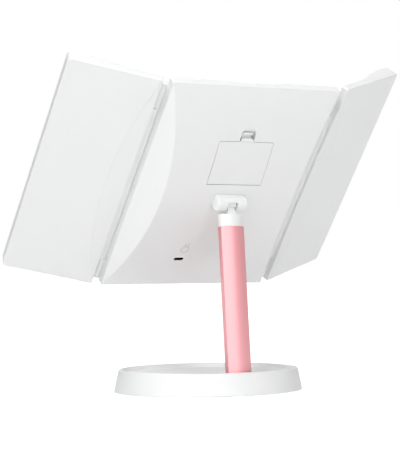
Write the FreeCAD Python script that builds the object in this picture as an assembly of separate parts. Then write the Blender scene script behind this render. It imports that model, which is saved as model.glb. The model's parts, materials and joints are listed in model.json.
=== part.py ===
"""Trifold vanity mirror on a leaning post: every piece is one STEP file in parts/.

Millimetres, +Z up. The origin is the centre of the base's underside. The user faces the
mirrors from -Y, so +Y is the back and +X is the user's right.

The head, the wings and the door are drawn upright around the tilt axis (x across, y to the
back, z up the panel) and are then leaned back. The post is drawn upright under the same
axis and is then leaned so that its foot stands nearer the back of the base.
"""
import FreeCAD, Part
import math
import os
from FreeCAD import Vector

# ---------------------------------------------------------------- resting pose (degrees)
tilt_back = 37.6           # lean of the head from upright
wing_angle_right = 19.7    # wing swung forward from flat
wing_angle_left = 24.0
post_lean = 6.0            # lean of the post, foot towards the back

# ---------------------------------------------------------------- base
base_half_length = 98.2    # outer half axes at the skirt
base_half_depth = 73.4
rim_half_length = 93.4     # outer half axes at the rim
rim_half_depth = 69.8
base_height = 22.2         # table to rim
foot_height = 0.6          # skirt above the table
rim_width = 3.6
tray_depth = 4.9
tray_draft = 1.0           # the tray's wall leans in by this much
base_wall = 2.4
base_rim_round = 1.4
bottom_plate_thickness = 2.4
plate_gap = 0.25
weight_half_length = 56.0
weight_half_depth = 34.0
weight_thickness = 5.0
weight_offset_y = -16.0
weight_post_share = (0.62, 0.5)     # posts that hold the weight down, as shares of its half axes
weight_post_radius = 2.88
foot_radius = 4.0
foot_inset = 7.2           # from the skirt to a foot's centre
foot_seat = 0.8            # how far a foot sits in the bottom plate
foot_round = 0.4
base_boss_radius = 3.6
base_boss_share = 0.84     # boss circle as a share of the cavity's half axes
base_boss_angles = (30, 150, 215, 325)
socket_wall = 3.0

# ---------------------------------------------------------------- post
tilt_axis_y = 37.5
tilt_axis_z = 183.0
post_half_width = 12.9
post_side_depth = 6.6      # flat side of the D section
post_back_rise = 4.0       # bulge of the back face
post_wall = 1.2
post_corner = 1.2          # front corners of the D section
collar_step = 0.6          # the collar is slimmer than the tube
collar_top = 11.1          # below the tilt axis
collar_height = 11.8
collar_wall = 2.2
core_gap = 0.1
neck_width = 7.0
eye_half_length = 5.1      # the eye fills the slot between the washers
neck_foot_width = 9.6
neck_flare_start = 5.2     # below the tilt axis
neck_top_depth = 4.8
neck_foot_depth = 7.2
neck_flange_thickness = 2.0
neck_flange_half_length = 9.6
neck_flange_half_depth = 1.9
neck_screw_end_inset = 2.9
eye_radius = 5.2

# ---------------------------------------------------------------- tilt hinge
pin_radius = 2.5
running_gap = 0.05
barrel_half_height = 7.0   # flat flanks, square to the panel
barrel_top = 8.0           # crown of the barrel above the tilt axis
barrel_half_length = 16.5
barrel_round = 1.9
axis_above_back = 4.0      # tilt axis above the crown of the back
slot_half_width = 5.65
slot_open_angle = 38.0     # slot's upper lip above the panel's normal
eye_cavity_gap = 0.5
cheek_thickness = 2.5
pin_pocket_radius = 5.5
barrel_wall = 1.4
pin_end_wall = 1.6
pin_head_radius = 4.2
pin_head_thickness = 2.5
nut_across_flats = 8.0
nut_thickness = 4.0
pin_tail = 0.8             # thread that shows past the nut
washer_radius = 4.6
housing_flange_half_length = 24.0
housing_flange_half_height = 13.5
housing_flange_thickness = 2.0
housing_pad_depth = 3.5    # from the crown of the back to the flange's seat
housing_pad_margin = 2.0
housing_screw_end_inset = 3.6
housing_screw_edge_inset = 4.0
housing_fit = 0.12

# ---------------------------------------------------------------- centre panel
panel_height = 236.0
centre_width = 184.2
back_bulge = 19.0          # crown of the back above its edges
side_wall_depth = 5.6      # back shell's flat side wall
frame_depth = 2.9          # front frame, in front of the side wall
frame_chamfer = 0.9
centre_corner = 1.5
shell_wall = 2.2
frame_side_width = 6.0     # front frame beside the mirror
frame_end_width = 6.4      # above and below it
window_corner = 3.0
diffuser_width = 6.0
glass_set_back = 0.4
fit_gap = 0.3              # between inserts laid side by side
carrier_thickness = 2.0
carrier_gap = 0.25
carrier_corner = 2.0
glass_corner = 1.0
diffuser_corner = 2.8      # the outer corners, inside the window's
finger_notch_half_width = 22.5
finger_notch_depth = 1.5
shell_boss_radius = 3.2
shell_boss_side_inset = 22.1
shell_boss_foot_inset = 18.0
shell_boss_middle_z = -35.0
shell_boss_top_inset = 36.0
carrier_screw_length = 6.0

# ---------------------------------------------------------------- lights and electronics
led_pitch = 20.0
led_size = (3.0, 1.4, 5.0)
led_board_width = 5.0
led_board_end_inset = 18.0
led_board_thickness = 1.2
led_slot_extra = 0.5
control_board_size = (44.0, 1.6, 34.0)
control_board_x = 23.4
control_board_z = -78.0
standoff_height = 2.0
standoff_radius = 2.4
standoff_inset = 3.2
standoff_bore_floor = 0.6  # carrier left under a standoff's bore
chip_sizes = ((-11.0, 8.0, 9.0, 1.5, 9.0), (-12.0, -8.0, 7.0, 2.0, 5.0), (12.0, 9.0, 6.0, 3.2, 6.0))
touch_pad_radius = 8.0
touch_pad_thickness = 0.6
touch_pad_z = -98.0
touch_pad_x = -18.0
usb_x = 23.4
usb_z = -78.0
usb_bezel_gap = 0.15
usb_bezel_sink = 0.3       # bezel below the back's surface
usb_slot_width = 10.8
usb_slot_height = 3.9
usb_body_width = 9.0
usb_body_height = 3.3
usb_mouth_depth = 6.0
usb_mouth_wall = 0.4
usb_lip_depth = 1.3        # mouth's lip, up into the slot
usb_tongue_root = 0.2      # tongue into the mouth's floor
usb_tongue = (6.0, 0.7)
usb_set_back = 0.5         # mouth behind the inner face of the shell

# ---------------------------------------------------------------- plug mark beside the socket
mark_x = 22.6
mark_z = -64.0
mark_ring_radius = 4.6
mark_line = 0.9
mark_rise = 0.35
mark_prong_length = 4.6
mark_prong_spacing = 3.6

# ---------------------------------------------------------------- battery bay
door_width = 60.0
door_height = 46.3
door_bottom_z = 18.3
door_thickness = 1.8
door_gap = 0.35
door_corner = 2.0
door_foot_corner = 0.3
door_pin_radius = 0.6
door_pin_length = 1.6
door_pin_end_gap = 0.2
door_bay_depth = 8.0       # cut for the door, from the crown of the back
notch_width = 16.0
notch_height = 15.0
notch_floor_depth = 3.2    # floor of the notch beside the latch
notch_floor_rise = 1.9     # floor rises this much to the notch's far end
notch_floor_wall = 1.6
latch_pocket_depth = 6.9   # pocket under the latch, below the door's edge
latch_pocket_gap = 0.45    # beyond the latch's lip
latch_width = 11.0
latch_strip = 1.2
latch_reach = 8.8          # from the door's edge to the far side of the latch's lip
latch_drop = 6.2
latch_lip_drop = 0.9       # lip below the back's surface
latch_lip_thickness = 2.0
latch_bend_radius = 2.4    # where the door's edge turns down into the notch
latch_tab_reach = 0.4      # the door's edge runs on into the notch
latch_tab_gap = 0.4
cell_radius = 7.25
cell_length = 50.5
cell_nub_radius = 2.75
cell_nub_length = 1.0
cell_pitch = 15.0
cell_gap = 0.05
cell_count = 3
tray_wall = 1.9
tray_floor = 1.2
tray_drop = 0.05           # tray's middle below the door's
tray_cavity_half_length = 29.6
tray_cavity_height = 45.7
contact_thickness = 0.5
contact_height = 9.0
spring_leaf_width = 7.0
spring_leaf_thickness = 0.4
spring_leaf_half_height = 4.0
spring_crest_half_height = 1.2

# ---------------------------------------------------------------- wings
wing_width = 89.6
wing_height = 237.0
wing_edge_offset = 4.2     # hinge axis to the wing's hinge-side edge
wing_shell_depth = 4.2
wing_wall = 2.0
wing_thin_depth = 7.0      # overall depth near the hinge
wing_thick_depth = 13.2    # overall depth at the free end
wing_step_start = 22.0     # from the hinge-side edge
wing_step_inset = 15.3     # end of the step, from the free edge
wing_free_corner = 4.5
wing_hinge_corner = 1.5
wing_edge_round = 1.2
wing_window_start = 6.0
wing_window_inset = 4.3    # from the free edge
wing_window_margin = 5.0
wing_glass_thickness = 2.0
wing_glass_gap = 0.2
wing_window_corners = (2.5, 4.0)     # hinge side and free side
wing_pad_start = 27.0
wing_pad_inset = 2.0       # inside the window
wing_pad_margin = 8.0
scoop_width = 20.0         # widest reach of the crescent scoop
scoop_slope = 7.5          # degrees
scoop_half_length = 60.0

# ---------------------------------------------------------------- wing hinges
hinge_outset = 2.1         # hinge axis beyond the centre's edge
hinge_in_front = 2.4       # hinge axis in front of the centre's front face
knuckle_radius = 3.5
hinge_rod_radius = 1.25
top_knuckle_inset = (34.0, 7.5)      # its two ends, from the panel's top
bottom_knuckle_inset = (2.5, 25.5)   # from the panel's foot
knuckle_gap = 0.4
knuckle_cap = 1.5
web_sink = 0.3             # web into the frame that carries it
web_reach = 4.5            # web along the frame's face
web_foot_depth = 0.6       # far end of the web, below the face
wing_web_depth = 2.2       # near end of the wing's web, behind its face

# ---------------------------------------------------------------- fasteners
screw_radius = 1.25
screw_head_radius = 2.4
screw_head_height = 1.4
board_screw_radius = 1.0
board_screw_head_radius = 1.9
screw_clearance = 0.2
flange_screw_clearance = 0.05
recess_width = 0.6         # cross recess in a screw's head
recess_depth = 0.7
recess_share = 0.7         # of the head's width
screw_bore_extra = 0.6       # bore beyond the tip of its screw
housing_screw_length = 4.2
board_screw_length = 4.2
plate_screw_length = 8.0
post_screw_length = 11.0
neck_screw_length = 9.0

# ---------------------------------------------------------------- derived places
half_width = centre_width / 2
half_height = panel_height / 2
wing_half_height = wing_height / 2
shoulder_y = barrel_top - barrel_half_height
window_half_width = half_width - frame_side_width
window_half_height = half_height - frame_end_width
hinge_x = half_width + hinge_outset
shell_boss_x = half_width - shell_boss_side_inset
shell_boss_z = (shell_boss_foot_inset - half_height, shell_boss_middle_z, half_height - shell_boss_top_inset)
led_board_length = panel_height - 2 * led_board_end_inset
led_count = int(led_board_length / led_pitch)
wing_step_end = wing_width - wing_step_inset
wing_window_end = wing_width - wing_window_inset
wing_pad_end = wing_window_end - wing_pad_inset
top_knuckle = (half_height - top_knuckle_inset[0], half_height - top_knuckle_inset[1])
bottom_knuckle = (bottom_knuckle_inset[0] - half_height, bottom_knuckle_inset[1] - half_height)
back_radius = (half_height ** 2 + back_bulge ** 2) / (2 * back_bulge)
crown_y = -axis_above_back
bulge_centre_y = crown_y - back_radius
edge_y = crown_y - back_bulge
parting_y = edge_y - side_wall_depth
front_y = parting_y - frame_depth
hinge_y = front_y - hinge_in_front
carrier_back_y = parting_y + carrier_thickness
door_top_z = door_bottom_z + door_height
door_middle_z = door_bottom_z + door_height / 2
tray_floor_z = base_height - tray_depth
cavity_top_z = tray_floor_z - base_wall
plate_top_z = foot_height + bottom_plate_thickness
tilt_axis = Vector(0, tilt_axis_y, tilt_axis_z)
x_axis, y_axis, z_axis = Vector(1, 0, 0), Vector(0, 1, 0), Vector(0, 0, 1)
far = 400.0                # reach of cutting tools


# ================================================================ small helpers
def box(x0, x1, y0, y1, z0, z1):
    return Part.makeBox(x1 - x0, y1 - y0, z1 - z0, Vector(x0, y0, z0))


def rod(radius, start, end):
    """A round bar between two points."""
    along = end - start
    return Part.makeCylinder(radius, along.Length, start, along)


def prism(points, direction):
    """A closed outline of 3-D points, pushed along a vector."""
    return Part.Face(Part.makePolygon(list(points) + [points[0]])).extrude(direction)


def fuse(shapes):
    whole = shapes[0]
    for shape in shapes[1:]:
        whole = whole.fuse(shape)
    return whole.removeSplitter()


def group(shapes):
    return Part.makeCompound(shapes)


def turned(shape, centre, axis, degrees):
    copy = shape.copy()
    copy.rotate(centre, axis, degrees)
    return copy


def around(degrees):
    """Unit vector in the x-z plane."""
    return Vector(math.cos(math.radians(degrees)), 0, math.sin(math.radians(degrees)))


def rounded_plate(x0, x1, z0, z1, y0, y1, radii):
    """A plate in the x-z plane. Radii: bottom-left, bottom-right, top-right, top-left."""
    corners = (
        (x0, z0, radii[0], 180),
        (x1, z0, radii[1], 270),
        (x1, z1, radii[2], 0),
        (x0, z1, radii[3], 90),
    )
    edges = []
    last = None
    first = None
    for x, z, radius, start in corners:
        cx = x + radius if x == x0 else x - radius
        cz = z + radius if z == z0 else z - radius
        a, middle, b = (
            Vector(cx, y0, cz) + radius * around(angle) for angle in (start, start + 45, start + 90)
        )
        if last is None:
            first = a
        else:
            edges.append(Part.LineSegment(last, a).toShape())
        edges.append(Part.Arc(a, middle, b).toShape())
        last = b
    edges.append(Part.LineSegment(last, first).toShape())
    return Part.Face(Part.Wire(edges)).extrude(Vector(0, y1 - y0, 0))


def ellipse_wire(half_length, half_depth, z, centre_y=0.0):
    curve = Part.Ellipse(Vector(0, centre_y, z), half_length, half_depth)
    return Part.Wire(curve.toShape())


def ellipse_cone(low, high, z0, z1, centre_y=0.0):
    """A solid between two ellipses, each given as its two half axes."""
    wires = [ellipse_wire(low[0], low[1], z0, centre_y), ellipse_wire(high[0], high[1], z1, centre_y)]
    return Part.makeLoft(wires, True, True)


def screw(head, direction, length, radius=screw_radius, head_radius=screw_head_radius):
    """A pan-head screw: head is the point under the head, direction points into the work."""
    way = Vector(direction).normalize()
    shank = rod(radius, head, head + way * length)
    cap = rod(head_radius, head - way * screw_head_height, head)
    reach = head_radius * recess_share
    cross = fuse([
        box(-reach, reach, -recess_width / 2, recess_width / 2, -recess_depth, recess_depth),
        box(-recess_width / 2, recess_width / 2, -reach, reach, -recess_depth, recess_depth),
    ])
    cross.Placement = FreeCAD.Placement(head - way * screw_head_height, FreeCAD.Rotation(z_axis, way))
    return fuse([shank, cap]).cut(cross)


def lean_head(shape):
    """From the upright head to its resting place in the row frame."""
    placed = turned(shape, Vector(), x_axis, -tilt_back)
    placed.translate(tilt_axis)
    return placed


def swing_wing(shape, side):
    """From flat open to the wing's resting angle; side is +1 for +X."""
    angle = wing_angle_right if side > 0 else wing_angle_left
    return lean_head(turned(shape, Vector(side * hinge_x, hinge_y, 0), z_axis, -side * angle))


def lean_post(shape):
    placed = turned(shape, Vector(), x_axis, post_lean)
    placed.translate(tilt_axis)
    return placed


def mirrored(shape):
    return shape.mirror(Vector(), x_axis)


def sided(shape, side):
    return shape if side > 0 else mirrored(shape)


# ================================================================ centre panel
def back_surface_y(z, inset=0.0):
    """Height of the curved back at z, optionally inside it."""
    return bulge_centre_y + math.sqrt((back_radius - inset) ** 2 - z ** 2)


def bulged_block(inset, low_y):
    """The centre's outer form: curved back, two 45-degree facets, straight side walls."""
    hw, hh, radius = half_width - inset, half_height - inset, back_radius - inset
    rim_y = bulge_centre_y + math.sqrt(radius ** 2 - hh ** 2)
    outline = [
        Part.LineSegment(Vector(-hw, low_y, -hh), Vector(-hw, rim_y, -hh)).toShape(),
        Part.Arc(Vector(-hw, rim_y, -hh), Vector(-hw, bulge_centre_y + radius, 0),
                 Vector(-hw, rim_y, hh)).toShape(),
        Part.LineSegment(Vector(-hw, rim_y, hh), Vector(-hw, low_y, hh)).toShape(),
        Part.LineSegment(Vector(-hw, low_y, hh), Vector(-hw, low_y, -hh)).toShape(),
    ]
    curved = Part.Face(Part.Wire(outline)).extrude(Vector(2 * hw, 0, 0))
    facet_y = edge_y - inset * (math.sqrt(2) - 1)
    rise = back_bulge + shell_wall
    faceted = prism([
        Vector(-hw, low_y, -hh), Vector(hw, low_y, -hh),
        Vector(hw, facet_y, -hh), Vector(hw - rise, facet_y + rise, -hh),
        Vector(rise - hw, facet_y + rise, -hh), Vector(-hw, facet_y, -hh),
    ], Vector(0, 0, 2 * hh))
    corner = max(centre_corner - inset, 0.5)
    outline_block = rounded_plate(-hw, hw, -hh, hh, low_y, crown_y + 1, (corner,) * 4)
    return curved.common(faceted).common(outline_block)


def notch_outline(grow, y0, y1):
    """The D-shaped thumb notch above the door, pushed along y."""
    half = notch_width / 2 + grow
    straight = notch_height - notch_width / 2
    low = door_top_z - 2
    body = box(-half, half, y0, y1, low, door_top_z + straight)
    crown = rod(half, Vector(0, y0, door_top_z + straight), Vector(0, y1, door_top_z + straight))
    return fuse([body, crown])


def notch_floor():
    """What stays below the notch: a slope, deepest beside the latch."""
    near_z, far_z = door_top_z + latch_reach, door_top_z + notch_height
    near_y = back_surface_y(near_z) - notch_floor_depth
    far_y = back_surface_y(far_z) - notch_floor_depth + notch_floor_rise
    slope = (far_y - near_y) / (far_z - near_z)
    low_z, high_z = near_z - notch_height, far_z + notch_width
    wide = notch_width
    return prism([
        Vector(-wide, near_y, near_z), Vector(-wide, far_y + (high_z - far_z) * slope, high_z),
        Vector(-wide, parting_y, high_z), Vector(-wide, parting_y, low_z), Vector(-wide, near_y, low_z),
    ], Vector(2 * wide, 0, 0))


def latch_pocket(grow):
    """The deep part of the notch, where the latch bends."""
    half = notch_width / 2 + grow
    floor_y = back_surface_y(door_top_z) - latch_pocket_depth - grow
    end_z = door_top_z + latch_reach + latch_pocket_gap + grow
    return box(-half, half, floor_y, crown_y + 1, door_top_z - 1, end_z)


def centre_back_shell():
    shell = bulged_block(0, parting_y).cut(bulged_block(shell_wall, parting_y - 1))
    inner = bulged_block(shell_wall / 2, parting_y)
    bosses = []
    for x in (-shell_boss_x, shell_boss_x):
        for z in shell_boss_z:
            boss = rod(shell_boss_radius, Vector(x, carrier_back_y, z), Vector(x, crown_y, z))
            bosses.append(boss.common(inner))
    pad_y = crown_y - housing_pad_depth
    pad_x = housing_flange_half_length + housing_pad_margin
    pad_z = housing_flange_half_height + housing_pad_margin
    pad = box(-pad_x, pad_x, pad_y, crown_y, -pad_z, pad_z).common(inner)
    outline = notch_outline(shell_wall / 2, edge_y, crown_y).common(inner)
    ledge = outline.cut(bulged_block(notch_floor_depth + notch_floor_wall, parting_y))
    pocket = outline.common(latch_pocket(shell_wall / 2))
    well = fuse([ledge, pocket]).cut(box(-far, far, -far, far, -far, door_top_z + door_gap))
    shell = fuse([shell, pad, well] + bosses)
    cuts = []
    for x in (-shell_boss_x, shell_boss_x):
        for z in shell_boss_z:
            deep = parting_y + screw_head_height + carrier_screw_length + screw_bore_extra
            cuts.append(rod(screw_radius, Vector(x, carrier_back_y - 1, z), Vector(x, deep, z)))
    for x, z in housing_screw_places():
        deep = pad_y - housing_flange_thickness + housing_screw_length + screw_bore_extra / 2
        cuts.append(rod(screw_radius, Vector(x, pad_y - 1, z), Vector(x, deep, z)))
    hole_x = barrel_half_length + housing_fit
    hole_z = barrel_half_height + housing_fit
    cuts.append(box(-hole_x, hole_x, pad_y - 1, crown_y + 1, -hole_z, hole_z))
    cuts.append(door_blank(door_gap, crown_y - door_bay_depth, crown_y + 1, full_bottom=True))
    above_door = box(-far, far, -far, far, door_top_z - 1, far)
    cuts.append(notch_outline(0, edge_y, crown_y + 1).common(above_door).cut(notch_floor()))
    cuts.append(notch_outline(0, edge_y, crown_y + 1).common(latch_pocket(0)))
    half = usb_slot_width / 2 - usb_slot_height / 2
    slot = [box(usb_x - half, usb_x + half, edge_y, crown_y,
                usb_z - usb_slot_height / 2, usb_z + usb_slot_height / 2)]
    for x in (usb_x - half, usb_x + half):
        slot.append(rod(usb_slot_height / 2, Vector(x, edge_y, usb_z), Vector(x, crown_y, usb_z)))
    cuts.append(fuse(slot))
    pin_y, pin_z = door_axis()
    reach = door_width / 2 + door_gap + door_pin_length
    cuts.append(rod(door_pin_radius + running_gap, Vector(-reach, pin_y, pin_z),
                    Vector(reach, pin_y, pin_z)))
    for tool in cuts:
        shell = shell.cut(tool)
    return shell


def hinge_web(anchor_a, anchor_b, z0, z1):
    """A knuckle with its web: two anchor points lie on the piece that carries the knuckle."""
    centre = Vector(hinge_x, hinge_y, z0)
    a = Vector(anchor_a[0], anchor_a[1], z0)
    b = Vector(anchor_b[0], anchor_b[1], z0)
    to_a, to_b = (a - centre).normalize(), (b - centre).normalize()
    turn = 1 if to_a.cross(to_b).z < 0 else -1
    tangent_a = centre + Vector(-to_a.y, to_a.x, 0) * knuckle_radius * turn
    tangent_b = centre + Vector(to_b.y, -to_b.x, 0) * knuckle_radius * turn
    up = Vector(0, 0, z1 - z0)
    return fuse([
        prism([a, tangent_a, centre, tangent_b, b], up),
        rod(knuckle_radius, centre, centre + up),
    ])


def centre_front_frame():
    outline = rounded_plate(-half_width, half_width, -half_height, half_height, front_y, parting_y,
                            (centre_corner,) * 4)
    chamfered = prism([
        Vector(-half_width, parting_y, -half_height), Vector(half_width, parting_y, -half_height),
        Vector(half_width, front_y + frame_chamfer, -half_height),
        Vector(half_width - frame_chamfer, front_y, -half_height),
        Vector(frame_chamfer - half_width, front_y, -half_height),
        Vector(-half_width, front_y + frame_chamfer, -half_height),
    ], Vector(0, 0, panel_height))
    frame = outline.common(chamfered)
    knuckles = []
    near = (half_width - web_sink, front_y + frame_chamfer - web_sink)
    deep = (half_width - web_reach, front_y + web_foot_depth)
    for z0, z1 in (top_knuckle, bottom_knuckle):
        knuckle = hinge_web(near, deep, z0, z1)
        knuckles += [knuckle, mirrored(knuckle)]
    frame = fuse([frame] + knuckles)
    window = rounded_plate(-window_half_width, window_half_width, -window_half_height, window_half_height,
                           front_y - 1, parting_y + 1, (window_corner,) * 4)
    frame = frame.cut(window)
    frame = frame.cut(box(-finger_notch_half_width, finger_notch_half_width, front_y - 1, parting_y + 1,
                          half_height - finger_notch_depth, half_height + 1))
    for side in (1, -1):
        frame = frame.cut(rod(hinge_rod_radius, Vector(side * hinge_x, hinge_y, bottom_knuckle[0] - 1),
                              Vector(side * hinge_x, hinge_y, top_knuckle[1] - knuckle_cap)))
    return frame


def hinge_rod(side):
    return rod(hinge_rod_radius, Vector(side * hinge_x, hinge_y, bottom_knuckle[0] + knuckle_cap),
               Vector(side * hinge_x, hinge_y, top_knuckle[1] - knuckle_cap))


def board_corners():
    dx = control_board_size[0] / 2 - standoff_inset
    dz = control_board_size[2] / 2 - standoff_inset
    return [(control_board_x + i * dx, control_board_z + j * dz) for i in (-1, 1) for j in (-1, 1)]


def led_row_x():
    return window_half_width - fit_gap / 3 - diffuser_width / 2


def mirror_carrier():
    hw = half_width - shell_wall - carrier_gap
    hh = half_height - shell_wall - carrier_gap
    plate = rounded_plate(-hw, hw, -hh, hh, parting_y, carrier_back_y, (carrier_corner,) * 4)
    seat_y = carrier_back_y + standoff_height
    standoffs = [rod(standoff_radius, Vector(x, carrier_back_y, z), Vector(x, seat_y, z))
                 for x, z in board_corners()]
    plate = fuse([plate] + standoffs)
    half_slot = (led_board_length + led_slot_extra) / 2 - 1
    for side in (1, -1):
        x = side * led_row_x()
        half = led_size[0] / 2 + led_slot_extra / 2
        plate = plate.cut(box(x - half, x + half, parting_y - 1, carrier_back_y + 1, -half_slot, half_slot))
    for x in (-shell_boss_x, shell_boss_x):
        for z in shell_boss_z:
            plate = plate.cut(rod(screw_radius + screw_clearance, Vector(x, parting_y - 1, z),
                                  Vector(x, carrier_back_y + 1, z)))
            plate = plate.cut(rod(screw_head_radius + screw_clearance, Vector(x, parting_y - 1, z),
                                  Vector(x, parting_y + screw_head_height, z)))
    for x, z in board_corners():
        plate = plate.cut(rod(board_screw_radius, Vector(x, parting_y + standoff_bore_floor, z),
                              Vector(x, seat_y + 1, z)))
    return plate.cut(rod(touch_pad_radius + fit_gap, Vector(touch_pad_x, parting_y - 1, touch_pad_z),
                         Vector(touch_pad_x, carrier_back_y + 1, touch_pad_z)))


def mirror_glass():
    hw = window_half_width - 2 * fit_gap / 3 - diffuser_width - fit_gap / 3
    hh = window_half_height - fit_gap / 2
    return rounded_plate(-hw, hw, -hh, hh, front_y + glass_set_back, parting_y, (glass_corner,) * 4)


def light_diffuser():
    outer = window_half_width - fit_gap / 3
    hh = window_half_height - fit_gap / 2
    return rounded_plate(outer - diffuser_width, outer, -hh, hh, front_y + glass_set_back, parting_y,
                         (glass_corner, diffuser_corner, diffuser_corner, glass_corner))


def led_board():
    x = led_row_x()
    half = led_board_length / 2
    return box(x - led_board_width / 2, x + led_board_width / 2, carrier_back_y,
               carrier_back_y + led_board_thickness, -half, half)


def led_chips():
    x = led_row_x()
    chips = []
    for i in range(led_count):
        z = (i - (led_count - 1) / 2) * led_pitch
        chips.append(box(x - led_size[0] / 2, x + led_size[0] / 2,
                         carrier_back_y - led_size[1], carrier_back_y,
                         z - led_size[2] / 2, z + led_size[2] / 2))
    return group(chips)


def control_board():
    w, thickness, h = control_board_size
    y0 = carrier_back_y + standoff_height
    y1 = y0 + thickness
    board = box(control_board_x - w / 2, control_board_x + w / 2, y0, y1,
                control_board_z - h / 2, control_board_z + h / 2)
    chips = []
    for x, z, chip_width, chip_thickness, chip_height in chip_sizes:
        middle_x, middle_z = control_board_x + x, control_board_z + z
        chips.append(box(middle_x - chip_width / 2, middle_x + chip_width / 2, y1, y1 + chip_thickness,
                         middle_z - chip_height / 2, middle_z + chip_height / 2))
    board = fuse([board] + chips)
    for x, z in board_corners():
        board = board.cut(rod(board_screw_radius, Vector(x, y0 - 1, z), Vector(x, y1 + 1, z)))
    return board


def board_screws():
    y = carrier_back_y + standoff_height + control_board_size[1]
    sizes = (board_screw_length, board_screw_radius, board_screw_head_radius)
    return group([screw(Vector(x, y, z), -y_axis, *sizes) for x, z in board_corners()])


def usb_socket():
    """Upright power socket on the board, its mouth just inside the slot in the back."""
    y0 = carrier_back_y + standoff_height + control_board_size[1]
    y1 = back_surface_y(usb_z, shell_wall) - usb_lip_depth - usb_set_back
    mouth_y = y1 - usb_mouth_depth

    def stadium(width, height, low, high):
        half = (width - height) / 2
        pieces = [box(usb_x - half, usb_x + half, low, high, usb_z - height / 2, usb_z + height / 2)]
        for x in (usb_x - half, usb_x + half):
            pieces.append(rod(height / 2, Vector(x, low, usb_z), Vector(x, high, usb_z)))
        return fuse(pieces)

    body = stadium(usb_body_width, usb_body_height, y0, y1)
    mouth = stadium(usb_body_width - 2 * usb_mouth_wall, usb_body_height - 2 * usb_mouth_wall,
                    mouth_y, crown_y)
    tongue = box(usb_x - usb_tongue[0] / 2, usb_x + usb_tongue[0] / 2, mouth_y - usb_tongue_root, y1 - 1,
                 usb_z - usb_tongue[1] / 2, usb_z + usb_tongue[1] / 2)
    bezel = stadium(usb_slot_width - 2 * usb_bezel_gap, usb_slot_height - 2 * usb_bezel_gap, y1 - 1, crown_y)
    bezel = bezel.common(bulged_block(usb_bezel_sink, parting_y))
    return fuse([fuse([body, bezel]).cut(mouth), tongue])


def touch_pad():
    return rod(touch_pad_radius, Vector(touch_pad_x, parting_y, touch_pad_z),
               Vector(touch_pad_x, parting_y + touch_pad_thickness, touch_pad_z))


def carrier_screws():
    y = parting_y + screw_head_height
    return group([screw(Vector(x, y, z), y_axis, carrier_screw_length)
                  for x in (-shell_boss_x, shell_boss_x) for z in shell_boss_z])


def plug_mark():
    """A raised ring with two prongs, following the curved back."""
    ring = rod(mark_ring_radius, Vector(mark_x, edge_y, mark_z), Vector(mark_x, 0, mark_z))
    ring = ring.cut(rod(mark_ring_radius - mark_line, Vector(mark_x, edge_y - 1, mark_z),
                        Vector(mark_x, 1, mark_z)))
    prongs = []
    for side in (-1, 1):
        x = mark_x + side * mark_prong_spacing / 2
        z0 = mark_z + mark_ring_radius - mark_line
        prongs.append(box(x - mark_line / 2, x + mark_line / 2, edge_y, 0, z0, z0 + mark_prong_length))
    raised = bulged_block(-mark_rise, parting_y).cut(bulged_block(0, parting_y - 1))
    return fuse([ring] + prongs).common(raised)


# ================================================================ battery bay
def door_axis():
    """y and z of the door's hinge pins, half way through the door's lower edge."""
    z = door_bottom_z + door_thickness / 2
    return back_surface_y(z) - door_thickness / 2, z


def door_blank(grow, y0, y1, full_bottom=False):
    low = door_bottom_z - (grow if full_bottom else 0)
    return rounded_plate(-door_width / 2 - grow, door_width / 2 + grow, low, door_top_z + grow, y0, y1,
                         (door_foot_corner, door_foot_corner, door_corner + grow, door_corner + grow))


def door_latch():
    """The sprung hook on the door: its edge bends down into the notch, runs along and ends in a lip."""
    outer_y = back_surface_y(door_top_z)
    bend_z = door_top_z + latch_tab_reach
    bend_y = outer_y - latch_bend_radius
    leg_z = bend_z + latch_bend_radius
    lip_z = door_top_z + latch_reach
    low_y = outer_y - latch_drop
    half = latch_width / 2
    wide = notch_width / 2 - latch_tab_gap
    tab = bulged_block(0, parting_y).cut(bulged_block(latch_strip, parting_y - 1))
    tab = tab.common(box(-wide, wide, edge_y, crown_y, door_top_z - 2, bend_z))
    bend = rod(latch_bend_radius, Vector(-wide, bend_y, bend_z), Vector(wide, bend_y, bend_z))
    bend = bend.cut(rod(latch_bend_radius - latch_strip, Vector(-far, bend_y, bend_z),
                        Vector(far, bend_y, bend_z)))
    bend = bend.common(box(-wide, wide, bend_y, outer_y + 1, bend_z, leg_z + 1))
    narrowing = prism([
        Vector(-wide, outer_y + 1, bend_z), Vector(wide, outer_y + 1, bend_z), Vector(wide, outer_y, bend_z),
        Vector(half, bend_y, bend_z), Vector(-half, bend_y, bend_z), Vector(-wide, outer_y, bend_z),
    ], Vector(0, 0, latch_bend_radius))
    return [
        tab,
        bend.common(narrowing),
        box(-half, half, low_y, bend_y, leg_z - latch_strip, leg_z),
        box(-half, half, low_y, low_y + latch_strip, leg_z - latch_strip, lip_z),
        box(-half, half, low_y, back_surface_y(lip_z) - latch_lip_drop, lip_z - latch_lip_thickness, lip_z),
    ]


def battery_door():
    slab = bulged_block(0, parting_y).cut(bulged_block(door_thickness, parting_y - 1))
    door = slab.common(door_blank(0, edge_y, crown_y + 1))
    pin_y, pin_z = door_axis()
    door = door.cut(box(-far, far, -far, far, pin_z - far, pin_z))
    sweep = math.hypot(door_top_z - pin_z, back_surface_y(door_top_z) - pin_y)
    sweep_reach = door_width / 2 + door_pin_length
    door = door.common(rod(sweep, Vector(-sweep_reach, pin_y, pin_z), Vector(sweep_reach, pin_y, pin_z)))
    edge = rod(door_thickness / 2, Vector(-door_width / 2, pin_y, pin_z),
               Vector(door_width / 2, pin_y, pin_z))
    reach = door_width / 2 + door_gap + door_pin_length - door_pin_end_gap
    pins = rod(door_pin_radius, Vector(-reach, pin_y, pin_z), Vector(reach, pin_y, pin_z))
    return fuse([door, edge, pins] + door_latch())


def cell_rows():
    return [door_middle_z + (i - (cell_count - 1) / 2) * cell_pitch for i in range(cell_count)]


def cell_y():
    return carrier_back_y + tray_floor + cell_radius + cell_gap


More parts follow.
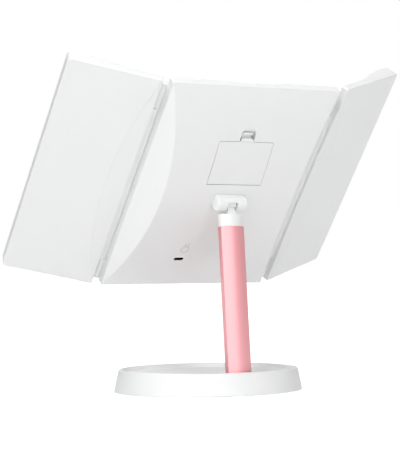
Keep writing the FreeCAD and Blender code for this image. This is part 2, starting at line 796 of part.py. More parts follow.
def battery_tray():
    hl = tray_cavity_half_length + tray_wall
    hh = tray_cavity_height / 2 + tray_wall
    mid = door_middle_z - tray_drop
    block = box(-hl, hl, carrier_back_y, crown_y, mid - hh, mid + hh)
    block = block.common(bulged_block(shell_wall + fit_gap, parting_y))
    cavity = box(-tray_cavity_half_length, tray_cavity_half_length, carrier_back_y + tray_floor, crown_y + 1,
                 mid - tray_cavity_height / 2, mid + tray_cavity_height / 2)
    return block.cut(cavity).cut(latch_pocket(shell_wall / 2 + fit_gap))


def battery_cells():
    cells = []
    right = tray_cavity_half_length - contact_thickness
    for i, z in enumerate(cell_rows()):
        flip = -1 if i % 2 else 1
        nub_end = Vector(flip * right, cell_y(), z)
        shoulder = Vector(flip * (right - cell_nub_length), cell_y(), z)
        tail = Vector(flip * (right - cell_length), cell_y(), z)
        cells.append(fuse([rod(cell_radius, tail, shoulder), rod(cell_nub_radius, shoulder, nub_end)]))
    return group(cells)


def battery_contacts():
    plates = []
    for side in (-1, 1):
        for z in cell_rows():
            a = side * (tray_cavity_half_length - contact_thickness)
            b = side * tray_cavity_half_length
            plates.append(box(min(a, b), max(a, b),
                              cell_y() - contact_height / 2, cell_y() + contact_height / 2,
                              z - contact_height / 2, z + contact_height / 2))
    return group(plates)


def battery_springs():
    """A bowed leaf between the contact and the flat end of each cell."""
    foot = tray_cavity_half_length - contact_thickness
    crest = foot - (2 * foot - cell_length)
    low, high = spring_leaf_half_height, spring_crest_half_height
    thick = spring_leaf_thickness
    springs = []
    for i, z in enumerate(cell_rows()):
        side = 1 if i % 2 else -1
        outer = [(foot, -low), (crest, -high), (crest, high), (foot, low)]
        inner = [(foot, low - 2 * thick), (crest + thick, high - thick / 2),
                 (crest + thick, thick / 2 - high), (foot, 2 * thick - low)]
        points = [Vector(side * x, cell_y() + y, z - spring_leaf_width / 2) for x, y in outer + inner]
        springs.append(prism(points, Vector(0, 0, spring_leaf_width)))
    return group(springs)


# ================================================================ tilt hinge
def housing_screw_places():
    x = housing_flange_half_length - housing_screw_end_inset
    z = housing_flange_half_height - housing_screw_edge_inset
    return [(i * x, j * z) for i in (-1, 1) for j in (-1, 1)]


def tilt_housing():
    """The barrel on the back. Its slot lets the neck swing; its underside is open for the pin."""
    crown_half = barrel_half_height
    barrel = fuse([
        box(-barrel_half_length, barrel_half_length, crown_y, shoulder_y, -crown_half, crown_half),
        rod(crown_half, Vector(-barrel_half_length, shoulder_y, 0),
            Vector(barrel_half_length, shoulder_y, 0)),
    ])
    end_edges = []
    for edge in barrel.Edges:
        span = edge.BoundBox
        if span.XLength < 0.01 and span.YMax > crown_y + 0.01:
            end_edges.append(edge)
    barrel = barrel.makeFillet(barrel_round, end_edges)
    seat_y = crown_y - housing_pad_depth
    under_y = seat_y - housing_flange_thickness
    root = box(-barrel_half_length, barrel_half_length, seat_y - 1, crown_y, -crown_half, crown_half)
    flange = box(-housing_flange_half_length, housing_flange_half_length, under_y, seat_y,
                 -housing_flange_half_height, housing_flange_half_height)
    housing = fuse([barrel, root, flange])
    slot = slot_half_width
    housing = housing.cut(rod(eye_radius + eye_cavity_gap, Vector(-slot, 0, 0), Vector(slot, 0, 0)))
    reach = barrel_top + 2
    lip = reach * math.tan(math.radians(slot_open_angle))
    swing = prism([
        Vector(-slot, 0, 0), Vector(-slot, reach, lip), Vector(-slot, reach, -reach),
        Vector(-slot, crown_y, -reach), Vector(-slot, crown_y, 0),
    ], Vector(2 * slot, 0, 0))
    housing = housing.cut(swing)
    inner = slot_half_width + cheek_thickness
    outer = barrel_half_length - pin_end_wall
    for side in (-1, 1):
        a, b = sorted((side * inner, side * outer))
        housing = housing.cut(rod(pin_pocket_radius, Vector(a, 0, 0), Vector(b, 0, 0)))
        housing = housing.cut(box(a, b, under_y - 1, 0, barrel_wall - crown_half, crown_half - barrel_wall))
    housing = housing.cut(rod(pin_radius, Vector(-inner - 1, 0, 0), Vector(inner + 1, 0, 0)))
    for x, z in housing_screw_places():
        housing = housing.cut(rod(screw_radius + screw_clearance, Vector(x, under_y - 1, z),
                                  Vector(x, seat_y + 1, z)))
    return housing


def housing_screws():
    y = crown_y - housing_pad_depth - housing_flange_thickness
    return group([screw(Vector(x, y, z), y_axis, housing_screw_length) for x, z in housing_screw_places()])


def tilt_pin():
    cheek = slot_half_width + cheek_thickness
    shank = rod(pin_radius, Vector(-cheek - nut_thickness - pin_tail, 0, 0), Vector(cheek, 0, 0))
    head = rod(pin_head_radius, Vector(cheek, 0, 0), Vector(cheek + pin_head_thickness, 0, 0))
    return fuse([shank, head])


def tilt_nut():
    cheek = slot_half_width + cheek_thickness
    corner = nut_across_flats / math.sqrt(3)
    points = []
    for i in range(6):
        angle = math.radians(60 * i)
        points.append(Vector(-cheek - nut_thickness, corner * math.cos(angle), corner * math.sin(angle)))
    hexagon = prism(points, Vector(nut_thickness, 0, 0))
    return hexagon.cut(rod(pin_radius, Vector(-cheek - nut_thickness - 1, 0, 0), Vector(0, 0, 0)))


def friction_washers():
    rings = []
    for side in (-1, 1):
        a = Vector(side * (eye_half_length + running_gap), 0, 0)
        b = Vector(side * slot_half_width, 0, 0)
        rings.append(rod(washer_radius, a, b).cut(rod(pin_radius, Vector(-far, 0, 0), Vector(far, 0, 0))))
    return group(rings)


def tilt_neck():
    """Eye on the tilt pin, a flared stem and the flange that is screwed to the core."""
    half = neck_width / 2
    eye = rod(eye_radius, Vector(-eye_half_length, 0, 0), Vector(eye_half_length, 0, 0))
    top, foot = neck_top_depth / 2, neck_foot_depth / 2
    low = -collar_top - collar_wall
    wide = neck_foot_width / 2
    side_view = prism([
        Vector(-wide, -top, -2.0), Vector(-wide, top, -2.0), Vector(-wide, foot, -collar_top),
        Vector(-wide, foot, low), Vector(-wide, -foot + 1, low), Vector(-wide, -foot + 1, -collar_top),
    ], Vector(neck_foot_width, 0, 0))
    front_view = prism([
        Vector(-half, -foot, -2.0), Vector(-half, -foot, -neck_flare_start),
        Vector(-wide, -foot, -collar_top), Vector(-wide, -foot, low),
        Vector(wide, -foot, low), Vector(wide, -foot, -collar_top),
        Vector(half, -foot, -neck_flare_start), Vector(half, -foot, -2.0),
    ], Vector(0, 2 * foot, 0))
    stem = side_view.common(front_view)
    flange = box(-neck_flange_half_length, neck_flange_half_length,
                 -neck_flange_half_depth, neck_flange_half_depth, low - neck_flange_thickness, low)
    neck = fuse([eye, stem, flange]).cut(rod(pin_radius + running_gap, Vector(-eye_half_length - 1, 0, 0),
                                             Vector(eye_half_length + 1, 0, 0)))
    for x in neck_screw_places():
        neck = neck.cut(rod(screw_radius + flange_screw_clearance,
                            Vector(x, 0, low - neck_flange_thickness - 1), Vector(x, 0, low + 1)))
    return neck


def neck_screw_places():
    x = neck_flange_half_length - neck_screw_end_inset
    return (-x, x)


# ================================================================ post
def d_section(inset, z0, z1):
    """The post's section: flat front and sides, bulged back."""
    hw = post_half_width - inset
    side = post_side_depth / 2 - inset
    back = post_side_depth / 2 + post_back_rise - inset
    corner = max(post_corner - inset, 0.3)
    a, b = Vector(-hw, side, z0), Vector(hw, side, z0)
    edges = [
        Part.Arc(a, Vector(0, back, z0), b).toShape(),
        Part.LineSegment(b, Vector(hw, -side + corner, z0)).toShape(),
        Part.Arc(Vector(hw, -side + corner, z0),
                 Vector(hw - corner * (1 - math.sqrt(0.5)), -side + corner * (1 - math.sqrt(0.5)), z0),
                 Vector(hw - corner, -side, z0)).toShape(),
        Part.LineSegment(Vector(hw - corner, -side, z0), Vector(corner - hw, -side, z0)).toShape(),
        Part.Arc(Vector(corner - hw, -side, z0),
                 Vector(corner * (1 - math.sqrt(0.5)) - hw, -side + corner * (1 - math.sqrt(0.5)), z0),
                 Vector(-hw, -side + corner, z0)).toShape(),
        Part.LineSegment(Vector(-hw, -side + corner, z0), a).toShape(),
    ]
    return Part.Face(Part.Wire(edges)).extrude(Vector(0, 0, z1 - z0))


def above_level(shape, level):
    """Keep what stands above a height in the row frame."""
    return shape.cut(box(-far, far, -far, far, level - far, level))


def collar_foot():
    return -collar_top - collar_height


def post_tube():
    low = -far / 2
    tube = d_section(0, low, collar_foot()).cut(d_section(post_wall, low - 1, collar_foot() + 1))
    return above_level(lean_post(tube), tray_floor_z)


def post_core():
    top = -collar_top - collar_wall - neck_flange_thickness
    core = d_section(post_wall + core_gap, -far / 2, top)
    for x in neck_screw_places():
        deep = top + neck_flange_thickness - neck_screw_length - screw_bore_extra
        core = core.cut(rod(screw_radius, Vector(x, 0, deep), Vector(x, 0, top + 1)))
    core = above_level(lean_post(core), plate_top_z)
    height = foot_height + screw_head_height + post_screw_length + screw_bore_extra - plate_top_z
    for place in post_screw_places():
        core = core.cut(rod(screw_radius, place, place + z_axis * height))
    return core


def post_collar():
    top = -collar_top
    shell = d_section(collar_step, collar_foot(), top)
    cavity = d_section(post_wall + core_gap, collar_foot() - 1, top - collar_wall)
    foot = neck_foot_depth / 2
    mouth = box(-neck_foot_width / 2, neck_foot_width / 2, -foot + 1, foot, top - collar_wall - 1, top + 1)
    return shell.cut(cavity).cut(mouth)


def neck_screws():
    z = -collar_top - collar_wall
    return group([rod(screw_radius, Vector(x, 0, z - neck_screw_length), Vector(x, 0, z))
                  for x in neck_screw_places()])


# ================================================================ base
def post_foot_centre(z):
    """Centre line of the post at a height in the row frame."""
    return tilt_axis_y + (tilt_axis_z - z) * math.tan(math.radians(post_lean))


def post_screw_places():
    y = post_foot_centre(plate_top_z)
    return [Vector(x, y, plate_top_z) for x in (-neck_screw_places()[1], neck_screw_places()[1])]


def outer_half_axes(z):
    share = (z - foot_height) / (base_height - foot_height)
    return (base_half_length + (rim_half_length - base_half_length) * share,
            base_half_depth + (rim_half_depth - base_half_depth) * share)


def inset_axes(axes, inset):
    return axes[0] - inset, axes[1] - inset


def base_boss_places():
    length, depth = inset_axes(outer_half_axes(foot_height), base_wall)
    places = []
    for degrees in base_boss_angles:
        angle = math.radians(degrees)
        places.append((base_boss_share * length * math.cos(angle), base_boss_share * depth * math.sin(angle)))
    return places


def weight_post_places():
    x = weight_half_length * weight_post_share[0]
    y = weight_half_depth * weight_post_share[1]
    return [(i * x, weight_offset_y + j * y) for i in (-1, 1) for j in (-1, 1)]


def base_tray():
    low, high = (base_half_length, base_half_depth), (rim_half_length, rim_half_depth)
    body = ellipse_cone(low, high, foot_height, base_height)
    rim_edges = [e for e in body.Edges if abs(e.BoundBox.ZMin - base_height) < 0.01]
    body = body.makeFillet(base_rim_round, rim_edges)
    pocket = ellipse_cone(inset_axes(high, rim_width + tray_draft), inset_axes(high, rim_width),
                          tray_floor_z, base_height + 0.01)
    hollow = ellipse_cone(inset_axes(low, base_wall), inset_axes(outer_half_axes(cavity_top_z), base_wall),
                          foot_height - 0.01, cavity_top_z)
    body = body.cut(pocket).cut(hollow)
    bosses = [rod(base_boss_radius, Vector(x, y, plate_top_z), Vector(x, y, cavity_top_z + 1))
              for x, y in base_boss_places()]
    weight_top = plate_top_z + weight_thickness
    bosses += [rod(weight_post_radius, Vector(x, y, weight_top), Vector(x, y, cavity_top_z + 1))
               for x, y in weight_post_places()]
    foot_y = post_foot_centre((plate_top_z + tray_floor_z) / 2)
    depth = (post_side_depth + post_back_rise) / 2 + socket_wall
    socket = box(-post_half_width - socket_wall, post_half_width + socket_wall,
                 foot_y - depth - 1, foot_y + depth + 1, plate_top_z, cavity_top_z + 1)
    body = fuse([body, socket] + bosses)
    body = body.cut(lean_post(d_section(post_wall, -far / 2, 0)))
    for x, y in base_boss_places():
        deep = foot_height + screw_head_height + plate_screw_length + screw_bore_extra
        body = body.cut(rod(screw_radius, Vector(x, y, plate_top_z - 1), Vector(x, y, deep)))
    return body


def foot_places():
    length, depth = base_half_length - foot_inset, base_half_depth - foot_inset
    return [(0, 0), (length, 0), (-length, 0), (0, depth), (0, -depth)]


def base_bottom_plate():
    low = inset_axes(outer_half_axes(foot_height), base_wall + plate_gap)
    high = inset_axes(outer_half_axes(plate_top_z), base_wall + plate_gap)
    plate = ellipse_cone(low, high, foot_height, plate_top_z)
    holes = base_boss_places() + [(place.x, place.y) for place in post_screw_places()]
    for x, y in holes:
        plate = plate.cut(rod(screw_radius + screw_clearance, Vector(x, y, 0),
                              Vector(x, y, plate_top_z + 1)))
        plate = plate.cut(rod(screw_head_radius + screw_clearance, Vector(x, y, 0),
                              Vector(x, y, foot_height + screw_head_height)))
    for x, y in foot_places():
        plate = plate.cut(rod(foot_radius, Vector(x, y, 0), Vector(x, y, foot_height + foot_seat)))
    return plate


def plate_screws():
    z = foot_height + screw_head_height
    return group([screw(Vector(x, y, z), z_axis, plate_screw_length) for x, y in base_boss_places()])


def post_screws():
    z = foot_height + screw_head_height
    return group([screw(Vector(place.x, place.y, z), z_axis, post_screw_length)
                  for place in post_screw_places()])


def base_feet():
    feet = []
    for x, y in foot_places():
        foot = rod(foot_radius, Vector(x, y, 0), Vector(x, y, foot_height + foot_seat))
        feet.append(foot.makeFillet(foot_round, [e for e in foot.Edges if e.BoundBox.ZMax < 0.01]))
    return group(feet)


def base_weight():
    axes = (weight_half_length, weight_half_depth)
    return ellipse_cone(axes, axes, plate_top_z, plate_top_z + weight_thickness, weight_offset_y)


# ================================================================ wings, drawn flat open on the +X side
def wing_x(distance):
    """x of a point at a distance from the wing's hinge-side edge."""
    return hinge_x + wing_edge_offset + distance


def wing_y(depth):
    return edge_y - depth


def wing_outline(depth0, depth1):
    return rounded_plate(wing_x(0), wing_x(wing_width), -wing_half_height, wing_half_height,
                         wing_y(depth1), wing_y(depth0),
                         (wing_hinge_corner, wing_free_corner, wing_free_corner, wing_hinge_corner))


def scoop_tool():
    """A large round bar that hollows the crescent out of the hinge side of the back."""
    slope = math.radians(scoop_slope)
    radius = wing_half_height ** 2 / (2 * scoop_width * math.sin(slope))
    tip = Vector(wing_x(scoop_width), wing_y(0), 0)
    along = Vector(math.cos(slope), math.sin(slope), 0)
    up = Vector(-math.sin(slope), math.cos(slope), 0)
    centre = tip + up * radius
    return rod(radius, centre - along * scoop_half_length, centre + along * scoop_half_length)


def wing_back_shell():
    shell = wing_outline(0, wing_shell_depth)
    back_edges = []
    for edge in shell.Edges:
        on_back = abs(edge.BoundBox.YMin - wing_y(0)) < 0.01
        if on_back and edge.BoundBox.XMax > wing_x(wing_hinge_corner) + 0.1:
            back_edges.append(edge)
    shell = shell.makeFillet(wing_edge_round, back_edges).cut(scoop_tool())
    margin = wing_half_height - wing_pad_margin
    pocket = box(wing_x(wing_pad_start), wing_x(wing_pad_end),
                 wing_y(wing_shell_depth) - 1, wing_y(wing_wall), -margin, margin)
    return shell.cut(pocket)


def wing_mirror_pad():
    margin = wing_half_height - wing_pad_margin
    return box(wing_x(wing_pad_start), wing_x(wing_pad_end), wing_y(wing_shell_depth), wing_y(wing_wall),
               -margin, margin)


def wing_step_profile():
    """The wing's front, from thin at the hinge to thick at the free end, by two equal arcs."""
    run = (wing_step_end - wing_step_start) / 2
    rise = (wing_thick_depth - wing_thin_depth) / 2
    radius = (run ** 2 + rise ** 2) / (2 * rise)
    half_angle = math.atan2(run, radius - rise) / 2
    low = -wing_half_height

    def at(distance, depth):
        return Vector(wing_x(distance), wing_y(depth), low)

    along = radius * math.sin(half_angle)
    drop = radius * (1 - math.cos(half_angle))
    middle = at(wing_step_start + run, wing_thin_depth + rise)
    first = at(wing_step_start + along, wing_thin_depth + drop)
    last = at(wing_step_end - along, wing_thick_depth - drop)
    a, b = at(wing_step_start, wing_thin_depth), at(wing_step_end, wing_thick_depth)
    corners = [at(0, wing_shell_depth), at(0, wing_thin_depth)]
    edges = [
        Part.LineSegment(corners[0], corners[1]).toShape(),
        Part.LineSegment(corners[1], a).toShape(),
        Part.Arc(a, first, middle).toShape(),
        Part.Arc(middle, last, b).toShape(),
        Part.LineSegment(b, at(wing_width, wing_thick_depth)).toShape(),
        Part.LineSegment(at(wing_width, wing_thick_depth), at(wing_width, wing_shell_depth)).toShape(),
        Part.LineSegment(at(wing_width, wing_shell_depth), corners[0]).toShape(),
    ]
    return Part.Face(Part.Wire(edges)).extrude(Vector(0, 0, wing_height))


def window_corners(inset):
    hinge_side, free_side = (radius - inset for radius in wing_window_corners)
    return hinge_side, free_side, free_side, hinge_side


def wing_front_frame():
    frame = wing_step_profile().common(wing_outline(0, wing_thick_depth + 1))
    z0, z1 = bottom_knuckle[1] + knuckle_gap, top_knuckle[0] - knuckle_gap
    near = (wing_x(web_sink), wing_y(wing_thin_depth - wing_web_depth))
    deep = (wing_x(web_reach), wing_y(wing_thin_depth - web_foot_depth))
    web = hinge_web(near, deep, z0, z1)
    frame = fuse([frame, web])
    margin = wing_half_height - wing_window_margin
    window = rounded_plate(wing_x(wing_window_start), wing_x(wing_window_end), -margin, margin,
                           wing_y(wing_thick_depth + 1), wing_y(wing_shell_depth - 1), window_corners(0))
    frame = frame.cut(window)
    return frame.cut(rod(hinge_rod_radius + running_gap, Vector(hinge_x, hinge_y, z0 - 1),
                         Vector(hinge_x, hinge_y, z1 + 1)))


def wing_mirror_glass():
    margin = wing_half_height - wing_window_margin - wing_glass_gap
    return rounded_plate(wing_x(wing_window_start + wing_glass_gap), wing_x(wing_window_end - wing_glass_gap),
                         -margin, margin, wing_y(wing_shell_depth + wing_glass_thickness),
                         wing_y(wing_shell_depth), window_corners(wing_glass_gap))


# ================================================================ all nodes
def make_nodes():
    nodes = {
        "base_tray": base_tray(),
        "base_bottom_plate": base_bottom_plate(),
        "base_weight": base_weight(),
        "base_feet": base_feet(),
        "plate_screws": plate_screws(),
        "post_screws": post_screws(),
        "post_tube": post_tube(),
        "post_core": post_core(),
        "post_collar": lean_post(post_collar()),
        "tilt_neck": lean_post(tilt_neck()),
        "neck_screws": lean_post(neck_screws()),
    }
    upright_head = {
        "centre_back_shell": centre_back_shell(),
        "centre_front_frame": centre_front_frame(),
        "mirror_carrier": mirror_carrier(),
        "centre_mirror_glass": mirror_glass(),
        "control_board": control_board(),
        "board_screws": board_screws(),
        "usb_socket": usb_socket(),
        "touch_pad": touch_pad(),
        "carrier_screws": carrier_screws(),
        "plug_mark": plug_mark(),
        "battery_tray": battery_tray(),
        "battery_cells": battery_cells(),
        "battery_contacts": battery_contacts(),
        "battery_springs": battery_springs(),
        "battery_door": battery_door(),
        "tilt_housing": tilt_housing(),
        "housing_screws": housing_screws(),
        "tilt_pin": tilt_pin(),
        "tilt_nut": tilt_nut(),
        "friction_washers": friction_washers(),
    }
    for side, name in ((1, "right"), (-1, "left")):
        upright_head["hinge_rod_" + name] = hinge_rod(side)
        upright_head["light_diffuser_" + name] = sided(light_diffuser(), side)
        upright_head["led_board_" + name] = sided(led_board(), side)
        upright_head["led_chips_" + name] = sided(led_chips(), side)
        nodes["wing_back_shell_" + name] = swing_wing(sided(wing_back_shell(), side), side)
        nodes["wing_front_frame_" + name] = swing_wing(sided(wing_front_frame(), side), side)
        nodes["wing_mirror_pad_" + name] = swing_wing(sided(wing_mirror_pad(), side), side)
        nodes["wing_mirror_glass_" + name] = swing_wing(sided(wing_mirror_glass(), side), side)
    for name, shape in upright_head.items():
        nodes[name] = lean_head(shape)
    return nodes


os.makedirs("parts", exist_ok=True)
for node_name, node_shape in make_nodes().items():
    node_shape.exportStep("parts/" + node_name + ".step")
    print(node_name, len(node_shape.Solids), round(node_shape.Volume, 1))
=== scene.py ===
import json
import math
import bmesh
import bpy
from mathutils import Matrix, Vector

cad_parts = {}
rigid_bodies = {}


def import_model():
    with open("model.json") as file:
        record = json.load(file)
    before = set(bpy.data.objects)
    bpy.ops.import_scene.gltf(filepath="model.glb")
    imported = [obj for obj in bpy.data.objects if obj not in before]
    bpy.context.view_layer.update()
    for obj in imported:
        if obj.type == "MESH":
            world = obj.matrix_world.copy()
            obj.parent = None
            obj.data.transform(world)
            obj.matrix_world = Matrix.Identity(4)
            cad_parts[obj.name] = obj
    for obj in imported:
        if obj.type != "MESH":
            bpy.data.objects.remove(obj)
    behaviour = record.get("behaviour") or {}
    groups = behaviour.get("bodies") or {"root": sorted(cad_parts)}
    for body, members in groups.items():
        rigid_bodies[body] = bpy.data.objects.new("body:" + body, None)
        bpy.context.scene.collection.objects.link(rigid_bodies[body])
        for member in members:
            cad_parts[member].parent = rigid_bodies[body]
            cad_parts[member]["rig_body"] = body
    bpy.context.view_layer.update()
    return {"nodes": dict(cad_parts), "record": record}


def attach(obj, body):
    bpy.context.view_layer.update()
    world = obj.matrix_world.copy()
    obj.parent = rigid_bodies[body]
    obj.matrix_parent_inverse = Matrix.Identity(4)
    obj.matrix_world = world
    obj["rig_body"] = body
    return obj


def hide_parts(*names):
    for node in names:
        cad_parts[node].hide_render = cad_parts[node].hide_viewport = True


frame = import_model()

# sizes in the dictionaries are millimetres and degrees, unless a note says otherwise
mm = 0.001
weldMm = 0.002
nodes = frame["nodes"]
scene = bpy.context.scene
scene.view_settings.view_transform = "Standard"


def hexColour(text):  # sRGB hex to linear RGBA
    parts = [int(text[i:i + 2], 16) / 255 for i in (1, 3, 5)]
    linear = [c / 12.92 if c <= 0.04045 else ((c + 0.055) / 1.055) ** 2.4 for c in parts]
    return (*linear, 1.0)


def addNode(tree, kind, settings=None, inputs=None):
    node = tree.nodes.new(kind)
    for name, value in (settings or {}).items():
        setattr(node, name, value)
    for key, value in (inputs or {}).items():
        socket = node.inputs[key]
        if isinstance(value, bpy.types.NodeSocket):
            tree.links.new(value, socket)
        else:
            socket.default_value = value
    return node


def startMaterial(name, shaderInputs):
    material = bpy.data.materials.new(name)
    material.use_nodes = True
    tree = material.node_tree
    shader = tree.nodes["Principled BSDF"]
    for key, value in shaderInputs.items():
        shader.inputs[key].default_value = value
    place = addNode(tree, "ShaderNodeTexCoord")
    return material, tree, shader, place.outputs["Object"]


def mouldedPlastic(name, colour, look):
    # tool texture shows as a faint orange peel in the gloss; regrind gives clouds about 1% apart
    material, tree, shader, place = startMaterial(name, {
        "Roughness": look["roughness"], "IOR": look["ior"],
        "Coat Weight": look["coat"], "Coat Roughness": look["coatRoughness"]})
    peel = addNode(tree, "ShaderNodeTexNoise", inputs={
        "Vector": place, "Scale": 1 / (look["peelMm"] * mm), "Detail": 2.0, "Roughness": 0.5})
    clouds = addNode(tree, "ShaderNodeTexNoise", inputs={
        "Vector": place, "Scale": 1 / (look["cloudMm"] * mm), "Detail": 3.0, "Roughness": 0.55})
    base = hexColour(colour)
    shade = tuple(c * look["cloudShade"] for c in base[:3]) + (1.0,)
    tint = addNode(tree, "ShaderNodeMix", {"data_type": "RGBA"}, {
        "Factor": clouds.outputs["Fac"], "A": base, "B": shade})
    tree.links.new(tint.outputs["Result"], shader.inputs["Base Color"])
    gloss = addNode(tree, "ShaderNodeMapRange", inputs={  # the noise mostly runs from 0.3 to 0.7
        "Value": clouds.outputs["Fac"], "From Min": 0.3, "From Max": 0.7,
        "To Min": look["roughness"] - look["glossSpread"], "To Max": look["roughness"] + look["glossSpread"]})
    tree.links.new(gloss.outputs["Result"], shader.inputs["Roughness"])
    bump = addNode(tree, "ShaderNodeBump", inputs={
        "Height": peel.outputs["Fac"], "Strength": look["peelStrength"],
        "Distance": look["peelDepthMm"] * mm})
    tree.links.new(bump.outputs["Normal"], shader.inputs["Normal"])
    return material


glossLook = {"roughness": 0.34, "ior": 1.53, "coat": 0.15, "coatRoughness": 0.12, "glossSpread": 0.03,
             "cloudMm": 45.0, "cloudShade": 0.985, "peelMm": 1.6, "peelStrength": 0.12, "peelDepthMm": 0.03}
satinLook = dict(glossLook, roughness=0.52, coat=0.0, peelMm=0.7, peelStrength=0.3, peelDepthMm=0.04)
softLook = dict(glossLook, roughness=0.75, coat=0.0, cloudShade=0.8,
                peelMm=0.5, peelStrength=0.5, peelDepthMm=0.08)
inkLook = dict(softLook, ior=1.3, roughness=0.85)


def pearlCoatedAluminium(name, look):
    # extruded tube, pearl lacquer over the draw lines: a soft pale stripe down a rose body, with fine
    # flakes in it, drawn coarser than real ones so that they show; pearl pigment mirrors more than
    # clear lacquer does, so the coat's IOR is high
    material, tree, shader, place = startMaterial(name, {
        "Metallic": look["metallic"], "Roughness": look["roughness"],
        "Coat Weight": look["coat"], "Coat Roughness": look["coatRoughness"], "Coat IOR": look["coatIor"]})
    across, run = 1 / (look["drawLineMm"] * mm), 1 / (look["drawRunMm"] * mm)
    along = addNode(tree, "ShaderNodeMapping", inputs={
        "Vector": place, "Rotation": (-math.radians(look["lean"]), 0.0, 0.0),
        "Scale": (across, across, run)})
    lines = addNode(tree, "ShaderNodeTexNoise", inputs={
        "Vector": along.outputs["Vector"], "Scale": 1.0, "Detail": 2.0})
    flakes = addNode(tree, "ShaderNodeTexVoronoi", inputs={
        "Vector": place, "Scale": 1 / (look["flakeMm"] * mm)})
    glint = addNode(tree, "ShaderNodeMix", {"data_type": "RGBA"}, {
        "Factor": flakes.outputs["Distance"], "A": hexColour(look["flake"]), "B": hexColour(look["body"])})
    drawn = addNode(tree, "ShaderNodeMix", {"data_type": "RGBA", "blend_type": "MULTIPLY"}, {
        "A": glint.outputs["Result"], "B": hexColour(look["lineShade"]), "Factor": lines.outputs["Fac"]})
    tree.links.new(drawn.outputs["Result"], shader.inputs["Base Color"])
    bump = addNode(tree, "ShaderNodeBump", inputs={
        "Height": lines.outputs["Fac"], "Strength": look["lineStrength"],
        "Distance": look["lineDepthMm"] * mm})
    tree.links.new(bump.outputs["Normal"], shader.inputs["Normal"])
    return material


turning = {"smoother": 0.08, "rougher": 0.1, "strength": 0.2, "depthMm": 0.02}


def turnedMetal(name, look):
    # plated steel: a cool grey shine broken by fine turning and rolling marks
    material, tree, shader, place = startMaterial(name, {"Metallic": 1.0, "Roughness": look["roughness"]})
    marks = addNode(tree, "ShaderNodeTexNoise", inputs={
        "Vector": place, "Scale": 1 / (look["markMm"] * mm), "Detail": 4.0, "Roughness": 0.6})
    tone = addNode(tree, "ShaderNodeMix", {"data_type": "RGBA"}, {
        "Factor": marks.outputs["Fac"], "A": hexColour(look["pale"]), "B": hexColour(look["dark"])})
    tree.links.new(tone.outputs["Result"], shader.inputs["Base Color"])
    spread = addNode(tree, "ShaderNodeMapRange", inputs={
        "Value": marks.outputs["Fac"], "To Min": look["roughness"] - turning["smoother"],
        "To Max": look["roughness"] + turning["rougher"]})
    tree.links.new(spread.outputs["Result"], shader.inputs["Roughness"])
    bump = addNode(tree, "ShaderNodeBump", inputs={
        "Height": marks.outputs["Fac"], "Strength": turning["strength"],
        "Distance": turning["depthMm"] * mm})
    tree.links.new(bump.outputs["Normal"], shader.inputs["Normal"])
    return material


def silveredGlass(name, look):
    # float glass silvered at the back: a clean, faintly cool reflection with hardly any waviness
    material, tree, shader, place = startMaterial(name, {"Metallic": 1.0, "Roughness": look["roughness"]})
    waves = addNode(tree, "ShaderNodeTexNoise", inputs={
        "Vector": place, "Scale": 1 / (look["waveMm"] * mm), "Detail": 1.0})
    tint = addNode(tree, "ShaderNodeMix", {"data_type": "RGBA"}, {
        "Factor": waves.outputs["Fac"], "A": hexColour(look["silver"]), "B": hexColour(look["shade"])})
    tree.links.new(tint.outputs["Result"], shader.inputs["Base Color"])
    bump = addNode(tree, "ShaderNodeBump", inputs={
        "Height": waves.outputs["Fac"], "Strength": look["waveStrength"],
        "Distance": look["waveDepthMm"] * mm})
    tree.links.new(bump.outputs["Normal"], shader.inputs["Normal"])
    return material


def frostedDiffuser(name, look):
    # milky acrylic, blasted on the outside: light sinks in a little, so edges look soft and warm
    material, tree, shader, place = startMaterial(name, {
        "Roughness": look["roughness"], "IOR": look["ior"], "Subsurface Weight": look["milk"],
        "Subsurface Radius": [reach * mm for reach in look["glowMm"]], "Subsurface Scale": 1.0})
    blast = addNode(tree, "ShaderNodeTexNoise", inputs={
        "Vector": place, "Scale": 1 / (look["gritMm"] * mm), "Detail": 3.0})
    tone = addNode(tree, "ShaderNodeMix", {"data_type": "RGBA"}, {
        "Factor": blast.outputs["Fac"], "A": hexColour(look["milkWhite"]), "B": hexColour(look["milkShade"])})
    tree.links.new(tone.outputs["Result"], shader.inputs["Base Color"])
    bump = addNode(tree, "ShaderNodeBump", inputs={
        "Height": blast.outputs["Fac"], "Strength": look["gritStrength"],
        "Distance": look["gritDepthMm"] * mm})
    tree.links.new(bump.outputs["Normal"], shader.inputs["Normal"])
    return material


def wovenBoard(name, look):
    # glass-fibre board under white lacquer: the weave shows as a faint grid
    material, tree, shader, place = startMaterial(name, {"Roughness": look["roughness"], "IOR": look["ior"]})
    weave = addNode(tree, "ShaderNodeTexBrick", inputs={
        "Vector": place, "Scale": 1 / (look["weaveMm"] * mm), "Color1": hexColour(look["lacquer"]),
        "Color2": hexColour(look["shade"]), "Mortar": hexColour(look["line"]),
        "Mortar Size": look["lineShare"]})
    tree.links.new(weave.outputs["Color"], shader.inputs["Base Color"])
    return material


